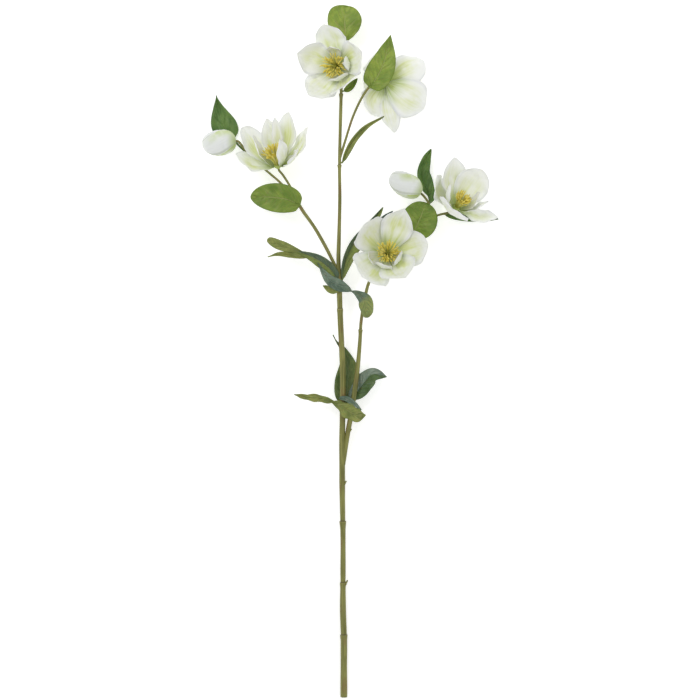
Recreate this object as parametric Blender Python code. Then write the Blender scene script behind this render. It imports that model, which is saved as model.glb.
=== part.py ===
"""Cut hellebore stem lying on its back: five open blooms, two buds, leaves and a branched stem.

X runs across the spray, Y along the stem towards the top bloom, and Z up from the surface it lies on.
The origin is the middle of the surface under it.
"""

import math
import random
from collections import namedtuple

import bmesh
import bpy
import numpy as np

# Clearances and thicknesses, in metres
GAP = 0.0003
PETAL_THICKNESS = 0.0006
LEAF_THICKNESS = 0.0007

# How finely the blades are divided, as rows along and columns across, closer together towards the tip
PETAL_ROWS, INNER_ROWS, PETAL_COLUMNS = 5, 3, 4
LEAF_ROWS, LEAF_COLUMNS, LOBE_COLUMNS = 7, 4, 2
TIP_CROWDING = 1.25
CURVE_STEPS = 24

# Leaf stalks, the narrowest a blade gets, and the half width under which a blade has fewer columns
STALK_HALF_WIDTH = 0.0013
LEAST_HALF_WIDTH = 0.0009
NARROW = 0.0060

# Wavy and toothed edges: waves along a blade, the lag of one edge, how fast they fade, and the tooth depth
WAVES_ALONG, WAVE_LAG = 2.5, 1.1
FADE_AT_BASE, FADE_AT_TIP = 3.0, 4.0
TOOTH_DEPTH = 0.22

# Receptacle and the low boss that holds the stamens, along the bloom's axis from its centre
RECEPTACLE_RADIUS = 0.0045
RECEPTACLE_DEPTH = 0.0050
RECEPTACLE_TOP = 0.0010
RECEPTACLE_NECK = 0.0016
RECEPTACLE_SIDES = 10
BOSS_RADIUS = 0.0034
BOSS_TOP = 0.0034
BOSS_SIDES = 9

# Petals: where they leave the receptacle, their shape, and how their layers pass behind each other
PETAL_ROOT_RADIUS = 0.0030
INNER_ROOT_RADIUS = 0.0036
PETAL_ROOT_DEPTH = 0.0018
PETAL_SHOULDER = 0.0075
PETAL_MIDDLE = 0.52
PETAL_FACING_IN = 0.6
PETAL_FULLEST, PETAL_BLUNT = 0.58, 0.55
LAYER_STEP = 0.0012
LAYER_CUPS = {-1: 0.30, 0: 0.34, 1: 0.14, 2: 0.02}

# Stamens: count, the jump that mixes inner and outer ones, leans in degrees and sizes
STAMEN_COUNT = 20
STAMEN_STEP = 9
STAMEN_LEAST_LEAN = 10
STAMEN_LENGTHS = (0.86, 1.04)
STAMEN_ROOTS = (0.0024, 0.0030)
STAMEN_SUNK = 0.0009
STAMEN_BOW = 0.0006
STAMEN_RADIUS = 0.00036
ANTHER_RADIUS = 0.00085
STAMEN_RINGS = (0.0, 0.78, 0.90, 1.0)

# Carpels: a low foot and pointed horns that lean apart, as (height, distance out, radius)
CARPEL_COUNT = 5
CARPEL_FOOT_RADIUS = 0.0014
CARPEL_FOOT_HEIGHT = 0.0012
CARPEL_RINGS = ((0.0004, 0.0007, 0.0006), (0.0048, 0.0009, 0.0007), (0.0095, 0.0013, 0.0003))

# A petal goes from the bloom's centre to a tip at this azimuth in degrees, distance out and height above it;
# bulge is how far its middle stands out. Blunt and point shape a blade's base and tip: the lower, the rounder.
Petal = namedtuple("Petal", "azimuth reach rise half_width layer bulge point", defaults=(0.12, 0.68))
Bloom = namedtuple("Bloom", "centre axis stamen_length stamen_spread petals inner")
Bud = namedtuple("Bud", "base tip radius")
Blade = namedtuple(
    "Blade",
    "spine facings half_width fullest blunt point stalk cup fold wave teeth",
    defaults=(0.40, 0.75, 0.75, 0.0, 0.15, 0.0, 0.0, 0),
)

# Stem runs, each a list of (x, y, z, radius) along its middle line
STEM_RUNS = {
    "main": (
        (-0.0070, -0.3820, 0.0036, 0.0038),
        (-0.0070, -0.3500, 0.0045, 0.0037),
        (-0.0070, -0.3160, 0.0050, 0.0036),
        (-0.0080, -0.2840, 0.0058, 0.0034),
        (-0.0080, -0.2500, 0.0064, 0.0030),
        (-0.0080, -0.2060, 0.0072, 0.0029),
        (-0.0088, -0.1600, 0.0086, 0.0031),
        (-0.0090, -0.1290, 0.0098, 0.0033),
        (-0.0090, -0.0960, 0.0120, 0.0033),
        (-0.0085, -0.0600, 0.0144, 0.0032),
        (-0.0085, -0.0190, 0.0170, 0.0031),
        (-0.0110, 0.0360, 0.0200, 0.0031),
        (-0.0122, 0.0740, 0.0222, 0.0029),
        (-0.0130, 0.1020, 0.0240, 0.0024),
        (-0.0125, 0.1240, 0.0250, 0.0021),
        (-0.0115, 0.1680, 0.0270, 0.0019),
        (-0.0118, 0.2050, 0.0280, 0.0018),
        (-0.0110, 0.2450, 0.0288, 0.0018),
        (-0.0100, 0.2880, 0.0286, 0.0018),
        (-0.0110, 0.3060, 0.0258, 0.0016),
    ),
    "right": (
        (-0.0080, -0.1240, 0.0102, 0.0026),
        (-0.0050, -0.1040, 0.0118, 0.0027),
        (-0.0020, -0.0850, 0.0134, 0.0028),
        (0.0010, -0.0690, 0.0148, 0.0028),
        (0.0035, -0.0520, 0.0160, 0.0027),
        (0.0080, -0.0190, 0.0185, 0.0025),
        (0.0105, 0.0100, 0.0200, 0.0021),
        (0.0122, 0.0360, 0.0210, 0.0018),
        (0.0170, 0.0640, 0.0216, 0.0018),
        (0.0210, 0.0780, 0.0218, 0.0018),
        (0.0290, 0.0930, 0.0218, 0.0017),
        (0.0440, 0.1100, 0.0220, 0.0017),
        (0.0590, 0.1220, 0.0230, 0.0016),
        (0.0710, 0.1310, 0.0240, 0.0015),
    ),
    "left": (
        (-0.0130, 0.0860, 0.0226, 0.0018),
        (-0.0170, 0.0960, 0.0228, 0.0019),
        (-0.0270, 0.1160, 0.0230, 0.0019),
        (-0.0390, 0.1370, 0.0230, 0.0019),
        (-0.0510, 0.1540, 0.0226, 0.0019),
        (-0.0560, 0.1620, 0.0222, 0.0018),
    ),
    "stalk_left_bloom": (
        (-0.0550, 0.1600, 0.0223, 0.0014),
        (-0.0640, 0.1790, 0.0200, 0.0013),
        (-0.0735, 0.1945, 0.0184, 0.0013),
    ),
    "stalk_left_bud": (
        (-0.0550, 0.1600, 0.0223, 0.0014),
        (-0.0740, 0.1840, 0.0150, 0.0013),
        (-0.0880, 0.1970, 0.0096, 0.0013),
        (-0.1060, 0.2120, 0.0098, 0.0013),
        (-0.1150, 0.2225, 0.0135, 0.0013),
    ),
    "stalk_upper_right": (
        (-0.0115, 0.2130, 0.0283, 0.0015),
        (-0.0050, 0.2340, 0.0300, 0.0013),
        (0.0020, 0.2560, 0.0325, 0.0013),
        (0.0100, 0.2740, 0.0360, 0.0013),
        (0.0180, 0.2870, 0.0395, 0.0013),
        (0.0260, 0.2945, 0.0422, 0.0013),
        (0.0315, 0.2965, 0.0430, 0.0013),
    ),
    "stalk_middle": (
        (0.0265, 0.0890, 0.0218, 0.0018),
        (0.0345, 0.1000, 0.0240, 0.0016),
    ),
    "stalk_right_bloom": (
        (0.0690, 0.1295, 0.0239, 0.0014),
        (0.0820, 0.1420, 0.0235, 0.0013),
        (0.0940, 0.1500, 0.0225, 0.0013),
        (0.1065, 0.1535, 0.0207, 0.0013),
    ),
    "stalk_right_bud": (
        (0.0700, 0.1300, 0.0240, 0.0014),
        (0.0790, 0.1460, 0.0240, 0.0013),
        (0.0855, 0.1580, 0.0245, 0.0013),
        (0.0860, 0.1645, 0.0250, 0.0013),
    ),
}
STEM_SIDES = {"main": 8, "right": 7, "left": 6}
STALK_SIDES = 5
STALK_END = 0.0030

# The flower or bud at the end of each run
CARRIED_BLOOMS = {
    "main": "top",
    "stalk_upper_right": "upper_right",
    "stalk_left_bloom": "left",
    "stalk_middle": "middle",
    "stalk_right_bloom": "right",
}
CARRIED_BUDS = {"stalk_left_bud": "left", "stalk_right_bud": "right"}

# Knuckle rings as (stem run, y, height of the ring over the stem, its half length)
KNUCKLES = (
    ("main", -0.3130, 0.0006, 0.0040),
    ("main", -0.2550, 0.0006, 0.0040),
    ("main", -0.1870, 0.0008, 0.0050),
    ("main", 0.0480, 0.0005, 0.0040),
    ("main", 0.2060, 0.0006, 0.0030),
    ("main", 0.2840, 0.0008, 0.0030),
    ("right", 0.0250, 0.0006, 0.0030),
)

KNUCKLE_RINGS = (-1.6, -0.5, 0.5, 1.6)
KNUCKLE_CLEAR = 2.2

# Stubs where a leaf was taken off, as (root, tip) points
STUBS = (
    ((-0.0070, -0.2600, 0.0070), (-0.0030, -0.2520, 0.0088)),
    ((-0.0080, -0.1480, 0.0095), (-0.0044, -0.1420, 0.0112)),
    ((-0.0030, -0.0900, 0.0130), (0.0014, -0.0845, 0.0145)),
)
STUB_RADII = (0.0016, 0.0008)

BLOOMS = {
    "top": Bloom(
        centre=(-0.0140, 0.3140, 0.0330),
        axis=(-0.33, -0.08, 0.94),
        stamen_length=0.0178,
        stamen_spread=43,
        petals=(
            Petal(165, 0.0455, 0.0200, 0.0190, 0),
            Petal(109, 0.0455, 0.0230, 0.0170, 1),
            Petal(228, 0.0460, 0.0180, 0.0190, 1),
            Petal(22, 0.0285, 0.0390, 0.0200, 0, 0.12, 0.50),
            Petal(283, 0.0265, 0.0300, 0.0215, 2, 0.12, 0.40),
        ),
        inner=(
            Petal(2, 0.0055, 0.0260, 0.0080, -1, 0.38, 1.60),
            Petal(262, 0.0160, 0.0195, 0.0125, -1, 0.34, 0.50),
            Petal(114, 0.0205, 0.0235, 0.0080, -1, 0.26),
        ),
    ),
    "upper_right": Bloom(
        centre=(0.0385, 0.2955, 0.0345),
        axis=(0.30, -0.10, -0.95),
        stamen_length=0.0165,
        stamen_spread=36,
        petals=(
            Petal(329, 0.0505, -0.0190, 0.0225, 2),
            Petal(32, 0.0500, -0.0180, 0.0190, 0, 0.12, 0.45),
            Petal(105, 0.0375, -0.0290, 0.0180, 1),
            Petal(175, 0.0240, -0.0338, 0.0170, 0),
            Petal(244, 0.0355, -0.0300, 0.0180, 1, 0.12, 0.45),
            Petal(281, 0.0540, -0.0180, 0.0110, 0, 0.12, 0.60),
        ),
        inner=(
            Petal(60, 0.0150, -0.0250, 0.0075, -1, 0.34),
            Petal(190, 0.0060, -0.0260, 0.0075, -1, 0.34),
            Petal(300, 0.0150, -0.0250, 0.0075, -1, 0.34),
        ),
    ),
    "left": Bloom(
        centre=(-0.0800, 0.2065, 0.0250),
        axis=(-0.20, 0.74, 0.64),
        stamen_length=0.0215,
        stamen_spread=28,
        petals=(
            Petal(78, 0.0590, 0.0020, 0.0135, 0),
            Petal(51, 0.0525, 0.0080, 0.0100, 1, 0.12, 0.85),
            Petal(103, 0.0525, -0.0020, 0.0115, 1, 0.12, 0.85),
            Petal(134, 0.0565, -0.0020, 0.0150, 0, 0.12, 0.45),
            Petal(166, 0.0470, 0.0060, 0.0140, 1),
            Petal(30, 0.0270, 0.0270, 0.0115, 0),
        ),
        inner=(
            Petal(83, 0.0255, 0.0325, 0.0095, -1, 0.18, 1.10),
            Petal(132, 0.0400, 0.0250, 0.0090, -1, 0.14),
            Petal(93, 0.0515, 0.0080, 0.0060, -1, 0.10),
        ),
    ),
    "middle": Bloom(
        centre=(0.0400, 0.1080, 0.0360),
        axis=(0.08, 0.12, 0.99),
        stamen_length=0.0175,
        stamen_spread=40,
        petals=(
            Petal(69, 0.0520, 0.0210, 0.0180, 0, 0.12, 0.85),
            Petal(127, 0.0395, 0.0290, 0.0215, 2, 0.12, 0.50),
            Petal(225, 0.0375, 0.0300, 0.0245, 1, 0.12, 0.45),
            Petal(307, 0.0335, 0.0320, 0.0220, 0, 0.12, 0.50),
            Petal(12, 0.0455, 0.0235, 0.0195, 1, 0.12, 0.50),
        ),
        inner=(
            Petal(346, 0.0125, 0.0250, 0.0095, -1, 0.34, 1.00),
            Petal(256, 0.0135, 0.0245, 0.0100, -1, 0.34, 0.55),
            Petal(194, 0.0205, 0.0235, 0.0085, -1, 0.30, 0.90),
        ),
    ),
    "right": Bloom(
        centre=(0.1170, 0.1600, 0.0270),
        axis=(0.42, 0.55, 0.72),
        stamen_length=0.0170,
        stamen_spread=22,
        petals=(
            Petal(93, 0.0540, 0.0060, 0.0170, 0),
            Petal(54, 0.0490, 0.0060, 0.0190, 1, 0.12, 0.50),
            Petal(124, 0.0400, 0.0200, 0.0150, 1, 0.18),
            Petal(345, 0.0465, 0.0030, 0.0105, 1, 0.07),
            Petal(8, 0.0340, 0.0230, 0.0065, 0, 0.12, 0.90),
            Petal(215, 0.0075, 0.0380, 0.0200, 0, 0.16, 0.45),
        ),
        inner=(
            Petal(111, 0.0235, 0.0320, 0.0085, -1, 0.18),
            Petal(30, 0.0290, 0.0200, 0.0080, -1, 0.22),
        ),
    ),
}

BUDS = {
    "left": Bud(base=(-0.1257, 0.2320, 0.0228), tip=(-0.1632, 0.2298, 0.0225), radius=0.0150),
    "right": Bud(base=(0.0775, 0.1745, 0.0255), tip=(0.0440, 0.1945, 0.0290), radius=0.0140),
}
# Bud shape: blunt egg with a low step where each wrapped petal ends
BUD_SEGMENTS, BUD_RINGS, BUD_PETALS = 15, 8, 3
BUD_LIP = 0.09
BUD_FIRST_RING = 0.02
BUD_TWIST = 0.7
BUD_SKEW, BUD_BLUNT = 0.92, 0.38

UP = (0.0, 0.0, 1.0)
ODD_DIRECTION = (0.31, 0.17, 0.93)

LEAVES = {
    "leaf_top": (
        Blade(
            spine=(
                (-0.0077, 0.3050, 0.0256),
                (-0.0040, 0.3200, 0.0200),
                (-0.0030, 0.3390, 0.0185),
                (-0.0052, 0.3520, 0.0215),
                (-0.0060, 0.3680, 0.0225),
                (-0.0020, 0.3820, 0.0160),
            ),
            facings=(UP, (0.0, 0.1, 1.0), (0.0, 0.5, 1.0)),
            half_width=0.0188,
            fullest=0.54,
            blunt=0.46,
            point=0.42,
            stalk=0.50,
            wave=0.08,
        ),
    ),
    "leaf_over_bloom": (
        Blade(
            spine=(
                (0.0212, 0.2893, 0.0423),
                (0.0305, 0.3030, 0.0470),
                (0.0370, 0.3175, 0.0495),
                (0.0409, 0.3325, 0.0490),
                (0.0440, 0.3465, 0.0450),
            ),
            facings=(UP, (0.1, 0.0, 1.0)),
            half_width=0.0150,
            fullest=0.33,
            blunt=0.50,
            point=0.95,
        ),
    ),
    "leaf_under_top": (
        Blade(
            spine=((-0.0072, 0.2870, 0.0290), (-0.0010, 0.2905, 0.0300), (0.0079, 0.3008, 0.0290)),
            facings=(UP,),
            half_width=0.0038,
            fold=0.4,
        ),
    ),
    "leaf_narrow": (
        Blade(
            spine=(
                (-0.0087, 0.2085, 0.0281),
                (-0.0037, 0.2208, 0.0281),
                (0.0035, 0.2335, 0.0300),
                (0.0165, 0.2470, 0.0340),
                (0.0371, 0.2588, 0.0360),
            ),
            facings=((0.4, -0.2, 1.0),),
            half_width=0.0036,
            fold=0.6,
            blunt=0.9,
            fullest=0.30,
            point=0.65,
        ),
    ),
    "leaf_behind_left_bud": (
        Blade(
            spine=(
                (-0.1060, 0.2120, 0.0078),
                (-0.1180, 0.2237, 0.0052),
                (-0.1300, 0.2365, 0.0022),
                (-0.1402, 0.2520, 0.0008),
                (-0.1458, 0.2690, 0.0006),
                (-0.1484, 0.2847, 0.0040),
            ),
            facings=(UP,),
            half_width=0.0140,
            fullest=0.32,
            blunt=0.50,
            point=1.25,
            stalk=0.40,
        ),
    ),
    "leaf_left_fork": (
        Blade(
            spine=(
                (-0.0550, 0.1616, 0.0247),
                (-0.0685, 0.1676, 0.0290),
                (-0.0883, 0.1706, 0.0300),
                (-0.1095, 0.1709, 0.0270),
            ),
            facings=(UP, (0.0, -0.1, 1.0)),
            half_width=0.0160,
            fullest=0.46,
            blunt=0.40,
            point=0.52,
        ),
    ),
    "leaf_behind_right_bud": (
        Blade(
            spine=(
                (0.0874, 0.1640, 0.0228),
                (0.0872, 0.1720, 0.0140),
                (0.0830, 0.1840, 0.0080),
                (0.0794, 0.1984, 0.0075),
                (0.0827, 0.2127, 0.0080),
                (0.0893, 0.2248, 0.0120),
            ),
            facings=((0.5, 0.0, 1.0),),
            half_width=0.0085,
            fold=0.4,
            fullest=0.45,
            point=0.62,
        ),
    ),
    "leaf_right_fork": (
        Blade(
            spine=(
                (0.0672, 0.1265, 0.0257),
                (0.0720, 0.1370, 0.0292),
                (0.0770, 0.1480, 0.0300),
                (0.0830, 0.1645, 0.0285),
            ),
            facings=(UP,),
            half_width=0.0200,
            fullest=0.48,
            blunt=0.46,
            point=0.42,
        ),
    ),
    "leaf_under_right": (
        Blade(
            spine=(
                (0.1045, 0.1518, 0.0183),
                (0.1229, 0.1518, 0.0126),
                (0.1427, 0.1500, 0.0110),
                (0.1636, 0.1470, 0.0150),
            ),
            facings=((0.0, -0.3, 1.0),),
            half_width=0.0062,
            fold=0.3,
        ),
    ),
    "leaf_cluster_left": (
        Blade(
            spine=(
                (-0.0140, 0.0815, 0.0259),
                (-0.0225, 0.0915, 0.0264),
                (-0.0330, 0.1000, 0.0266),
                (-0.0460, 0.1065, 0.0262),
                (-0.0600, 0.1118, 0.0245),
            ),
            facings=((0.2, -0.5, 1.0), UP),
            half_width=0.0068,
            fullest=0.36,
            blunt=0.45,
            point=0.95,
            wave=0.18,
        ),
        Blade(
            spine=(
                (-0.0420, 0.1050, 0.0266),
                (-0.0545, 0.1105, 0.0252),
                (-0.0680, 0.1150, 0.0240),
                (-0.0800, 0.1190, 0.0232),
                (-0.0912, 0.1248, 0.0225),
            ),
            facings=(UP,),
            half_width=0.0054,
            fullest=0.68,
            blunt=0.90,
            point=0.32,
            wave=0.10,
        ),
        Blade(
            spine=(
                (-0.0440, 0.1050, 0.0262),
                (-0.0545, 0.1060, 0.0248),
                (-0.0670, 0.1075, 0.0235),
                (-0.0790, 0.1082, 0.0225),
                (-0.0910, 0.1052, 0.0205),
            ),
            facings=(UP,),
            half_width=0.0034,
            fullest=0.40,
            blunt=0.9,
            point=1.0,
        ),
    ),
    "leaf_cluster_front": (
        Blade(
            spine=(
                (-0.0358, 0.0990, 0.0281),
                (-0.0300, 0.0890, 0.0277),
                (-0.0225, 0.0795, 0.0280),
                (-0.0130, 0.0740, 0.0276),
                (-0.0040, 0.0700, 0.0271),
                (0.0020, 0.0670, 0.0268),
            ),
            facings=((0.2, 0.0, 1.0), (0.0, 0.1, 1.0)),
            half_width=0.0066,
            fullest=0.64,
            blunt=0.75,
            point=0.85,
            cup=-0.04,
        ),
        Blade(
            spine=(
                (0.0000, 0.0678, 0.0269),
                (0.0080, 0.0644, 0.0266),
                (0.0152, 0.0580, 0.0268),
                (0.0180, 0.0480, 0.0270),
                (0.0178, 0.0382, 0.0250),
            ),
            facings=((0.1, 0.4, 1.0), (0.3, 0.1, 1.0)),
            half_width=0.0082,
            fullest=0.60,
            blunt=0.80,
            point=0.42,
            wave=0.12,
        ),
        Blade(
            spine=((-0.0110, 0.0715, 0.0272), (-0.0200, 0.0685, 0.0265), (-0.0300, 0.0735, 0.0252)),
            facings=(UP,),
            half_width=0.0042,
        ),
    ),
    "leaf_cluster_right": (
        Blade(
            spine=(
                (-0.0087, 0.0800, 0.0225),
                (-0.0068, 0.0928, 0.0232),
                (-0.0020, 0.1075, 0.0225),
                (0.0065, 0.1215, 0.0200),
                (0.0210, 0.1390, 0.0175),
                (0.0362, 0.1600, 0.0160),
            ),
            facings=((0.6, -0.2, 1.0), (0.4, -0.3, 1.0)),
            half_width=0.0078,
            fullest=0.45,
            blunt=0.7,
            fold=0.35,
        ),
        Blade(
            spine=((0.0150, 0.1300, 0.0184), (0.0310, 0.1425, 0.0170), (0.0470, 0.1561, 0.0165)),
            facings=((0.3, -0.3, 1.0),),
            half_width=0.0045,
        ),
    ),
    "leaf_lower_back": (
        Blade(
            spine=(
                (-0.0064, -0.0570, 0.0107),
                (-0.0040, -0.0440, 0.0080),
                (-0.0025, -0.0280, 0.0072),
                (-0.0030, -0.0120, 0.0082),
                (-0.0080, 0.0030, 0.0098),
                (-0.0150, 0.0118, 0.0115),
                (-0.0192, 0.0195, 0.0130),
            ),
            facings=(UP,),
            half_width=0.0145,
            fullest=0.28,
            blunt=0.60,
            point=1.70,
            cup=0.10,
        ),
    ),
    "leaf_lower_right": (
        Blade(
            spine=(
                (-0.0012, -0.0500, 0.0117),
                (0.0075, -0.0440, 0.0106),
                (0.0170, -0.0320, 0.0150),
                (0.0260, -0.0245, 0.0180),
                (0.0403, -0.0270, 0.0130),
            ),
            facings=((-0.3, 0.2, 1.0), (-0.2, 0.1, 1.0), (0.4, -0.1, 1.0)),
            half_width=0.0108,
            fullest=0.42,
            blunt=0.60,
            point=0.90,
            wave=0.10,
        ),
    ),
    "leaf_lower_front": (
        Blade(
            spine=(
                (-0.0170, -0.0545, 0.0193),
                (-0.0270, -0.0525, 0.0180),
                (-0.0380, -0.0500, 0.0172),
                (-0.0480, -0.0495, 0.0168),
                (-0.0620, -0.0464, 0.0150),
            ),
            facings=((0.0, -0.3, 1.0), UP),
            half_width=0.0047,
            fullest=0.42,
            blunt=0.8,
            wave=0.35,
            teeth=3,
        ),
        Blade(
            spine=(
                (-0.0230, -0.0538, 0.0188),
                (-0.0140, -0.0570, 0.0190),
                (-0.0060, -0.0620, 0.0194),
                (0.0020, -0.0670, 0.0192),
                (0.0090, -0.0695, 0.0184),
                (0.0170, -0.0694, 0.0165),
            ),
            facings=((0.1, 0.0, 1.0), (0.1, -0.3, 1.0)),
            half_width=0.0098,
            fullest=0.62,
            blunt=0.75,
            point=0.85,
            wave=0.16,
            teeth=3,
        ),
        Blade(
            spine=(
                (-0.0125, -0.0500, 0.0198),
                (-0.0040, -0.0515, 0.0205),
                (0.0050, -0.0570, 0.0205),
                (0.0122, -0.0635, 0.0192),
            ),
            facings=((0.3, 0.5, 1.0),),
            half_width=0.0034,
            blunt=0.6,
        ),
    ),
}

# Colours of the pieces as (red, green, blue), roughness
STEM_COLOUR = ((0.205, 0.215, 0.060), 0.55)
PETAL_COLOUR = ((0.820, 0.840, 0.720), 0.60)
STAMEN_COLOUR = ((0.620, 0.500, 0.060), 0.65)
CARPEL_COLOUR = ((0.230, 0.260, 0.030), 0.60)
LEAF_COLOUR = ((0.170, 0.290, 0.050), 0.50)
DARK_LEAF_COLOUR = ((0.070, 0.130, 0.060), 0.45)
SHARP_ANGLE = math.radians(50)


def unit(vector):
    vector = np.asarray(vector, float)
    return vector / np.linalg.norm(vector)


def smooth_curve(points, places):
    """Points at the given shares of the length of a Catmull-Rom curve through the rows."""
    rows = np.asarray(points, float)
    knots = np.vstack([2 * rows[0] - rows[1], rows, 2 * rows[-1] - rows[-2]])
    fine = []
    for i in range(len(rows) - 1):
        p0, p1, p2, p3 = knots[i : i + 4]
        for t in np.linspace(0, 1, CURVE_STEPS, endpoint=False):
            bend = (2 * p0 - 5 * p1 + 4 * p2 - p3) * t**2
            turn = (3 * p1 - p0 - 3 * p2 + p3) * t**3
            fine.append(0.5 * (2 * p1 + (p2 - p0) * t + bend + turn))
    fine = np.array(fine + [rows[-1]])
    along = np.concatenate([[0], np.cumsum(np.linalg.norm(np.diff(fine, axis=0), axis=1))])
    wanted = np.asarray(places) * along[-1]
    return np.stack([np.interp(wanted, along, fine[:, k]) for k in range(3)], axis=1)


def outline(s, blade):
    """Half width at s along the blade, as a share of its full half width."""
    if s <= blade.stalk and blade.stalk:
        return STALK_HALF_WIDTH / blade.half_width
    share = (s - blade.stalk) / (1 - blade.stalk)
    skew = math.log(0.5) / math.log(blade.fullest)
    power = blade.blunt if share < blade.fullest else blade.point
    width = max(math.sin(math.pi * share**skew), 0.0) ** power
    if blade.teeth:
        width *= 1 - TOOTH_DEPTH * math.cos(math.pi * blade.teeth * share) ** 2
    return max(width, LEAST_HALF_WIDTH / blade.half_width)


def places_along(blade, rows):
    """Where the rows of a blade fall along it: closer towards its tip, and one where a stalk ends."""
    if not blade.stalk:
        return 1 - (1 - np.linspace(0, 1, rows + 1)) ** TIP_CROWDING
    in_blade = 1 - (1 - np.linspace(0, 1, rows)) ** TIP_CROWDING
    return np.append(0.0, blade.stalk + (1 - blade.stalk) * in_blade)


def blade_surface(blade, rows, columns):
    """Middle surface of a blade as a grid of points, row by row from its base, and the normals there."""
    places = places_along(blade, rows)
    spine = smooth_curve(blade.spine, places)
    tangents = np.gradient(spine, axis=0)
    facings = np.asarray(blade.facings, float)
    grid = np.zeros((rows + 1, columns + 1, 3))
    for i, s in enumerate(places):
        ahead = unit(tangents[i])
        mark = s * (len(facings) - 1)
        low = min(int(mark), max(len(facings) - 2, 0))
        high = min(low + 1, len(facings) - 1)
        face = facings[low] + (facings[high] - facings[low]) * (mark - low)
        side = unit(np.cross(ahead, face))
        up = np.cross(side, ahead)
        half = blade.half_width * outline(s, blade)
        for j, t in enumerate(np.linspace(-1, 1, columns + 1)):
            phase = 2 * math.pi * WAVES_ALONG * s + (WAVE_LAG if t > 0 else 0.0)
            fade = min(1.0, FADE_AT_TIP * (1 - s)) * min(1.0, FADE_AT_BASE * s)
            ripple = blade.wave * blade.half_width * math.sin(phase) * fade * t * t
            lift = half * (blade.cup * t * t + blade.fold * abs(t)) + ripple
            grid[i, j] = spine[i] + side * half * t + up * lift
    along = np.gradient(grid, axis=0)
    across = np.gradient(grid, axis=1)
    normals = np.cross(across, along)
    normals /= np.maximum(np.linalg.norm(normals, axis=2, keepdims=True), 1e-12)
    return grid, normals


def thin_solid(grid, normals, thickness):
    """Closed solid round a middle surface, split into triangles alike on both faces."""
    rows, columns = grid.shape[0] - 1, grid.shape[1] - 1
    count = (rows + 1) * (columns + 1)
    half = normals * thickness / 2
    points = np.vstack([(grid + half).reshape(-1, 3), (grid - half).reshape(-1, 3)])
    faces = []

    def at(i, j):
        return i * (columns + 1) + j

    for i in range(rows):
        for j in range(columns):
            a, b, c, d = at(i, j), at(i, j + 1), at(i + 1, j + 1), at(i + 1, j)
            for one, two, three in ((a, b, c), (a, c, d)):
                faces.append((one, two, three))
                faces.append((one + count, three + count, two + count))
    rim = [at(0, j) for j in range(columns + 1)]
    rim += [at(i, columns) for i in range(1, rows + 1)]
    rim += [at(rows, j) for j in range(columns - 1, -1, -1)]
    rim += [at(i, 0) for i in range(rows - 1, 0, -1)]
    for k, here in enumerate(rim):
        there = rim[(k + 1) % len(rim)]
        faces.append((there, here, here + count))
        faces.append((there, here + count, there + count))
    return points, faces


def blade_solid(blade, rows, columns, thickness):
    grid, normals = blade_surface(blade, rows, columns)
    return thin_solid(grid, normals, thickness)


def tube_solid(points, radii, sides):
    """Closed tube through the points, with flat ends."""
    points = np.asarray(points, float)
    tangents = np.gradient(points, axis=0)
    hint = unit(np.cross(unit(tangents[0]), ODD_DIRECTION))
    rings = []
    for point, tangent, radius in zip(points, tangents, radii):
        ahead = unit(tangent)
        hint = unit(hint - ahead * np.dot(hint, ahead))
        third = np.cross(ahead, hint)
        for k in range(sides):
            angle = 2 * math.pi * k / sides
            rings.append(point + radius * (math.cos(angle) * hint + math.sin(angle) * third))
    faces = []
    for i in range(len(points) - 1):
        for k in range(sides):
            a, b = i * sides + k, i * sides + (k + 1) % sides
            faces.append((a, b, b + sides))
            faces.append((a, b + sides, a + sides))
    last = (len(points) - 1) * sides
    for k in range(1, sides - 1):
        faces.append((0, k + 1, k))
        faces.append((last, last + k, last + k + 1))
    return np.array(rings), faces


def turned_solid(centre, axis, profile, sides):
    """Closed solid turned round an axis from (height, radius) pairs, lowest first."""
    points = [np.asarray(centre) + unit(axis) * height for height, _ in profile]
    return tube_solid(points, [radius for _, radius in profile], sides)


def mesh_object(name, solid, collection=None):
    points, faces = solid
    mesh = bpy.data.meshes.new(name)
    mesh.from_pydata([tuple(point) for point in points], [], faces)
    mesh.update()
    obj = bpy.data.objects.new(name, mesh)
    (collection or bpy.context.scene.collection).objects.link(obj)
    return obj


def keep_largest_shell(mesh):
    """Fills the small hollows that crossing blades seal, and drops loose scraps."""
    work = bmesh.new()
    work.from_mesh(mesh)
    left = set(work.faces)
    shells = []
    while left:
        stack = [left.pop()]
        shell = []
        while stack:
            face = stack.pop()
            shell.append(face)
            for edge in face.edges:
                for other in edge.link_faces:
                    if other in left:
                        left.remove(other)
                        stack.append(other)
        shells.append(shell)
    shells.sort(key=len)
    for shell in shells[:-1]:
        bmesh.ops.delete(work, geom=shell, context="FACES")
    work.to_mesh(mesh)
    work.free()


def fused_object(name, solids):
    """One object from overlapping solids, by one Boolean union on a collection."""
    base = mesh_object(name, solids[0])
    if len(solids) > 1:
        others = bpy.data.collections.new(name + "_pieces")
        bpy.context.scene.collection.children.link(others)
        for index, solid in enumerate(solids[1:]):
            mesh_object(f"{name}_piece_{index}", solid, others)
        union = base.modifiers.new("union", "BOOLEAN")
        union.operation = "UNION"
        union.operand_type = "COLLECTION"
        union.collection = others
        union.solver = "EXACT"
        bpy.context.view_layer.objects.active = base
        bpy.ops.object.modifier_apply(modifier=union.name)
        for obj in list(others.objects):
            bpy.data.objects.remove(obj, do_unlink=True)
        bpy.data.collections.remove(others)
        keep_largest_shell(base.data)
    return base


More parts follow.
